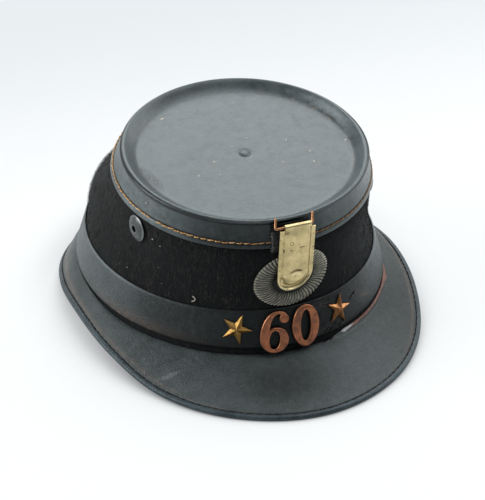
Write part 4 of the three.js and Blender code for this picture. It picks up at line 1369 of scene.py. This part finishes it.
def makePlate():
    columns, rows = 100, 170
    across = np.linspace(-1, 1, columns)
    across = 0.55 * np.sin(across * math.pi / 2) + 0.45 * across  # closer together at the sides
    x = across * plate["halfWidth"]
    rounding = (plate["straightTo"] - plate["bottom"]) * np.sqrt(np.clip(1 - across ** 2, 0, 1))
    lowest = plate["straightTo"] + plate["skew"] * x - rounding
    y = plate["top"] + np.linspace(0, 1, rows)[:, None] * (lowest - plate["top"])[None, :]
    x = np.broadcast_to(x, y.shape)
    rise, inside, _, _ = plateHeight(x, y)
    rim = np.sqrt(np.clip(inside / 0.35, 0, 1))  # rounded edge
    edge = plate["back"] + 0.3
    front = edge + (plate["front"] - edge + rise) * np.maximum(rim, 0.02)
    behind = edge - 0.3 * rim
    front[0], behind[0] = edge - 0.1, edge - 0.1
    faces = [np.stack([x, y, front], -1), np.stack([x, y, behind], -1)[:, ::-1]]
    piece = wrapGrid("brassPlate", np.concatenate(faces, axis=1), closeRows=False)
    points = corners(piece)
    x, y, z = points.T
    _, inside, bow, nicks = plateHeight(x, y)
    faced = z > edge + 0.05
    # painted shade in the fold line
    crease = 0.36 * bell(inside, plate["border"] + 0.15, 0.4) * (1 - 0.85 * rampUp(-y, 27, 32))
    stain = 0.14 * bell(y, -1.6, 0.6) + 0.62 * bell(x, -5.8, 1.6) * bell(y, -2.7, 1.2)
    specks = 0
    for speckX, speckY, size, strength in plate["specks"]:
        specks = specks + strength * bell(np.hypot(x - speckX, y - speckY), 0, size)
    # painted shade in the hollow above the lip and along the right side
    hollow = 0.5 * bell(inside, 2.5, 1) * np.clip((-28 - y) / 3.5, 0, 1)
    hollow += 0.3 * bell(inside, 2.6, 0.8) * rampUp(x, 4, 6)
    # painted shade on the dent's upper wall
    crescent = 0.55 * bell(x, plate["dentX"], 2.6) * bell(bow, 0.32, 0.2)
    # the pressed nicks get painted shade; the stain and specks are real
    low = crease + np.clip(-nicks * 5, 0, 1) + stain + specks + hollow + crescent
    mark(piece, "low", np.clip(low, 0, 1) * faced)
    # painted highlight on the lip and on the dent's lower wall
    lipShine = bell(inside, 0.6, 0.7) * (0.35 + 0.65 * np.clip((-27 - y) / 5, 0, 1))
    dentShine = 0.85 * bell(x, plate["dentX"] + 0.6, 3) * bell(bow, -0.3, 0.26)
    mark(piece, "paintedHighlight", np.clip(lipShine + dentShine, 0, 1) * faced)
    points[:, 0] += plate["lean"] * (y - plate["bottom"])  # the plate hangs askew
    piece.data.vertices.foreach_set("co", points.reshape(-1))
    roll = makePlateRoll()
    only(piece)
    roll.select_set(True)
    bpy.ops.object.join()
    piece.data.transform(Matrix.Translation((plate["shift"], 0, 0)))
    settle(piece, paleBrass, "plate_brass", "plate", seat=plateSeat, body="plate", sharp=50)


def makePlateRoll():
    outer, inner = plate["rollOuter"], plate["rollInner"]
    turns = np.radians(np.linspace(0, 265, 30))
    over = [(-1.3, outer + 0.02)] + [(outer * math.sin(turn), outer * math.cos(turn)) for turn in turns]
    under = [(inner * math.sin(turn), inner * math.cos(turn)) for turn in turns[::-1]] + [(-1.3, inner)]
    flat = np.array(over + under)
    middle = flat.mean(axis=0)
    span = np.linspace(plate["rollFrom"], plate["rollTo"], 24) - plate["shift"]
    sections = []
    for place, x in enumerate(span):
        size = 0.93 if place in (0, len(span) - 1) else 1  # softened ends
        sections.append(np.column_stack([np.full(len(flat), x), middle + (flat - middle) * size]))
    roll = wrapGrid("plateRoll", sections, closeRows=False, capEnds=True)
    y = corners(roll)[:, 1]
    # painted shade under the roll, painted highlight along its top
    mark(roll, "low", 0.5 * np.clip((-y - 0.9) / 1.2, 0, 1))
    mark(roll, "paintedHighlight", 0.5 * bell(y, 0.9, 0.6))
    return roll



makePlate()


# Pale flecks and chips where the photograph shows them, and a curl of lint on the felt
flecks = {
    "onTop": [  # place on the top, half length, half width, turn
        (-32.3, 42.7, 1.3, 0.7, 20), (-4.5, 7.3, 0.8, 0.6, 0), (-18.5, -2.6, 0.9, 0.6, 60),
        (-30.4, -11.9, 0.7, 0.6, 10), (17, -13.3, 0.9, 0.65, 30), (33.3, -17.4, 0.95, 0.6, 80),
        (34.7, -8.3, 0.8, 0.6, 0), (52, 29, 1.3, 0.6, 120), (56.4, 18, 1.0, 0.7, 60),
        (57.3, -4.5, 0.8, 0.6, 0), (26, 4.8, 0.55, 0.5, 0), (-13.5, -44.9, 0.7, 0.5, 15),
        (-19.4, -14.3, 0.5, 0.4, 0), (6, 12.8, 0.5, 0.4, 0), (41, -33, 0.5, 0.4, 40), (-45, 20, 0.45, 0.4, 0),
    ],
    "onFelt": [  # place on the hat, size
        (-61.8, -51.9, 51.2, 0.6), (-59.1, -56.1, 48.7, 0.5), (-70.7, -34.6, 25.8, 0.32),
        (-59.8, -54.8, 35.1, 0.28), (-59.2, -57.3, 26.4, 0.28), (58.6, -53.5, 47, 0.4), (52, -61, 42, 0.4),
        (-63.2, -47.8, 71.1, 0.7),
    ],
    "onBand": [  # angle, rise, half length, half width, turn
        (14.6, 0.96, 3, 0.5, 12), (12, 0.98, 1.6, 0.45, -10), (16.8, 0.88, 1.6, 0.35, 20),
        (27.4, 0.6, 2.4, 0.35, 28), (29.4, 0.67, 1.3, 0.32, 50), (30.5, 0.7, 0.8, 0.3, -15),
        (11.5, 0.55, 1.3, 2.2, 20), (12.6, 0.28, 1.8, 1.4, 0), (13.4, 0.1, 2.6, 1.2, 20),
        (15.8, 0.08, 2.4, 1.1, 35), (17.6, 0.18, 2.2, 1, 10), (19.6, 0.1, 2.2, 0.9, 25),
        (-1.6, 0.92, 1.4, 0.9, 30), (-1.8, 0.45, 1, 1.8, 0), (-13.8, 0.1, 2.2, 0.8, 0),
        (21.8, 0.16, 1.8, 0.7, 15),
    ],
    "swell": 1.05, "thickness": 0.2,  # of the flecks on the top
    "feltLift": 0.6, "bandThickness": 0.35,
    "lint": [
        (-47.9, -73.6, 25.2), (-46.9, -74.6, 24.6), (-46.7, -74.8, 23.3), (-47.3, -74, 22.2),
        (-48.2, -73, 21.8),
    ],
    "lintRadius": 0.32,
}


def fleckShape():
    sizes = (1, 0.8, 1, 0.7, 0.95, 0.85, 0.6, 1, 0.75)
    turns = np.linspace(0, 2 * math.pi, len(sizes), endpoint=False)
    ring = [(math.cos(turn) * size, math.sin(turn) * size, 0) for turn, size in zip(turns, sizes)]
    count = len(ring)
    faces = [(k, (k + 1) % count, count) for k in range(count)]
    faces += [((k + 1) % count, k, count + 1) for k in range(count)]
    return np.array(ring + [(0, 0, 1), (0, 0, -1)]), faces


def makeFlecks():
    frames = []
    floor = leatherTop["profile"][:17]  # from the boss up to the bead
    for x, y, length, width, turn in flecks["onTop"]:
        reach = math.hypot(x, y / topPlace["oval"])
        height = np.interp(reach, [ring[0] for ring in floor], [ring[1] for ring in floor])
        spot = Matrix.Translation((x, y, height + 0.05)) @ Matrix.Rotation(math.radians(turn), 4, "Z")
        size = Matrix.Diagonal((length * flecks["swell"], width * flecks["swell"], flecks["thickness"], 1))
        frames.append(np.array(topSeat @ spot @ size))
    for x, y, z, size in flecks["onFelt"]:
        out = Vector((x, y + 10, 8)).normalized()
        facing = out.to_track_quat("Z", "Y").to_matrix().to_4x4()
        spot = Matrix.Translation(Vector((x, y, z)) + out * flecks["feltLift"]) @ facing
        frames.append(np.array(spot @ Matrix.Diagonal((size, size * 0.8, 0.3, 1))))
    piece = scatter("paleFlecks", *fleckShape(), np.array(frames))
    settle(piece, paleDust, "top_leather")
    flakes = []
    for angle, rise, length, width, turn in flecks["onBand"]:
        seat = seatOn(bandPoint, angle, rise, turn=turn)
        flakes.append(np.array(seat @ Matrix.Diagonal((length, width, flecks["bandThickness"], 1))))
    settle(scatter("blackFlakes", *fleckShape(), np.array(flakes)), blackFlake, "leather")


makeFlecks()
settle(tube("lintCurl", flecks["lint"], flecks["lintRadius"], True), paleDust, "felt")


# Studio: a glowing pale floor, darker towards the back, with painted contact shadow, soft lights and the
# camera of the photograph
studio = {
    "floorSize": 12, "floorNear": (0.92, 0.945, 0.955), "floorFar": (0.743, 0.779, 0.8), "floorGlow": 0.88,
    "floorShade": 32, "airFront": 0.13, "airBack": 0.75, "airColour": (0.95, 0.985, 1, 1),
    "softboxes": [  # name, place, size, power
        ("backSoftbox", (1.0, 3.0, 3.0), (3.4, 2.2), 84),
        ("overSoftbox", (0.9, -0.1, 3.0), (2.6, 2.6), 46),
        ("frontSoftbox", (1.0, -1.6, 2.8), (2.2, 1.6), 12),
        ("leftSoftbox", (-3.0, 0.5, 1.7), (2.4, 2.2), 136),
        ("rightSoftbox", (3.0, 0.4, 1.8), (2.4, 2.2), 56),
    ],
    "azimuth": -20.99, "elevation": 31.48, "distance": 1153.1, "target": (0, -22.08, 13.8), "lens": 149.5,
}


def makeFloor():
    deselect()
    bpy.ops.mesh.primitive_plane_add(size=studio["floorSize"], location=(0, 0, -0.0002))
    floor = named("paleFloor")
    finish, tree, shader = newFinish("paleFloor")
    depth = node(tree, "SeparateXYZ", {"Vector": inMillimetres(tree)}).outputs["Y"]
    # painted falloff: the floor is lighter near the hat and darker towards the back
    tone = blend(tree, spread(tree, depth, 80, 400), studio["floorNear"], studio["floorFar"])
    contact = {"Color": tone, "Distance": studio["floorShade"] / 1000}
    # painted contact shadow: ambient occlusion dims the floor's glow
    darkening = node(tree, "AmbientOcclusion", contact, samples=16)
    dress(tree, shader, {
        # the floor glows though it is no lamp
        "Base Color": blend(tree, 0.12, (0, 0, 0), tone), "Roughness": 0.8, "Specular IOR Level": 0.1,
        "Emission Color": darkening.outputs["Color"], "Emission Strength": studio["floorGlow"],
    })
    floor.data.materials.append(finish)


def softbox(name, place, size, power):
    light = bpy.data.lights.new(name, "AREA")
    light.shape = "RECTANGLE"
    light.size, light.size_y = size
    light.energy = power
    lamp = bpy.data.objects.new(name, light)
    bpy.context.scene.collection.objects.link(lamp)
    lamp.location = place
    aim = Vector((0, 0, 0.05)) - lamp.location
    lamp.rotation_euler = aim.to_track_quat("-Z", "Y").to_euler()


def makeStudio():
    makeFloor()
    for lamp in studio["softboxes"]:
        softbox(*lamp)
    world = bpy.data.worlds.new("studioAir")
    world.use_nodes = True
    tree, air = world.node_tree, world.node_tree.nodes["Background"]
    towards = node(tree, "SeparateXYZ", {"Vector": node(tree, "TexCoord").outputs["Generated"]}).outputs["Y"]
    strength = spread(tree, towards, -0.2, 1, studio["airFront"], studio["airBack"])
    dress(tree, air, {"Color": studio["airColour"], "Strength": strength})
    bpy.context.scene.world = world
    bpy.context.scene.view_settings.view_transform = "Standard"
    azimuth, elevation = math.radians(studio["azimuth"]), math.radians(studio["elevation"])
    level = math.cos(elevation)
    back = Vector((math.sin(azimuth) * level, -math.cos(azimuth) * level, math.sin(elevation)))
    camera = bpy.data.objects.new("photoCamera", bpy.data.cameras.new("photoCamera"))
    bpy.context.scene.collection.objects.link(camera)
    camera.data.lens = studio["lens"]
    camera.data.sensor_width = 36
    target = placing @ Vector(studio["target"])
    camera.location = target + back * studio["distance"] * 0.001
    camera.rotation_euler = (-back).to_track_quat("-Z", "Y").to_euler()
    bpy.context.scene.camera = camera


makeStudio()
print("studio ready")
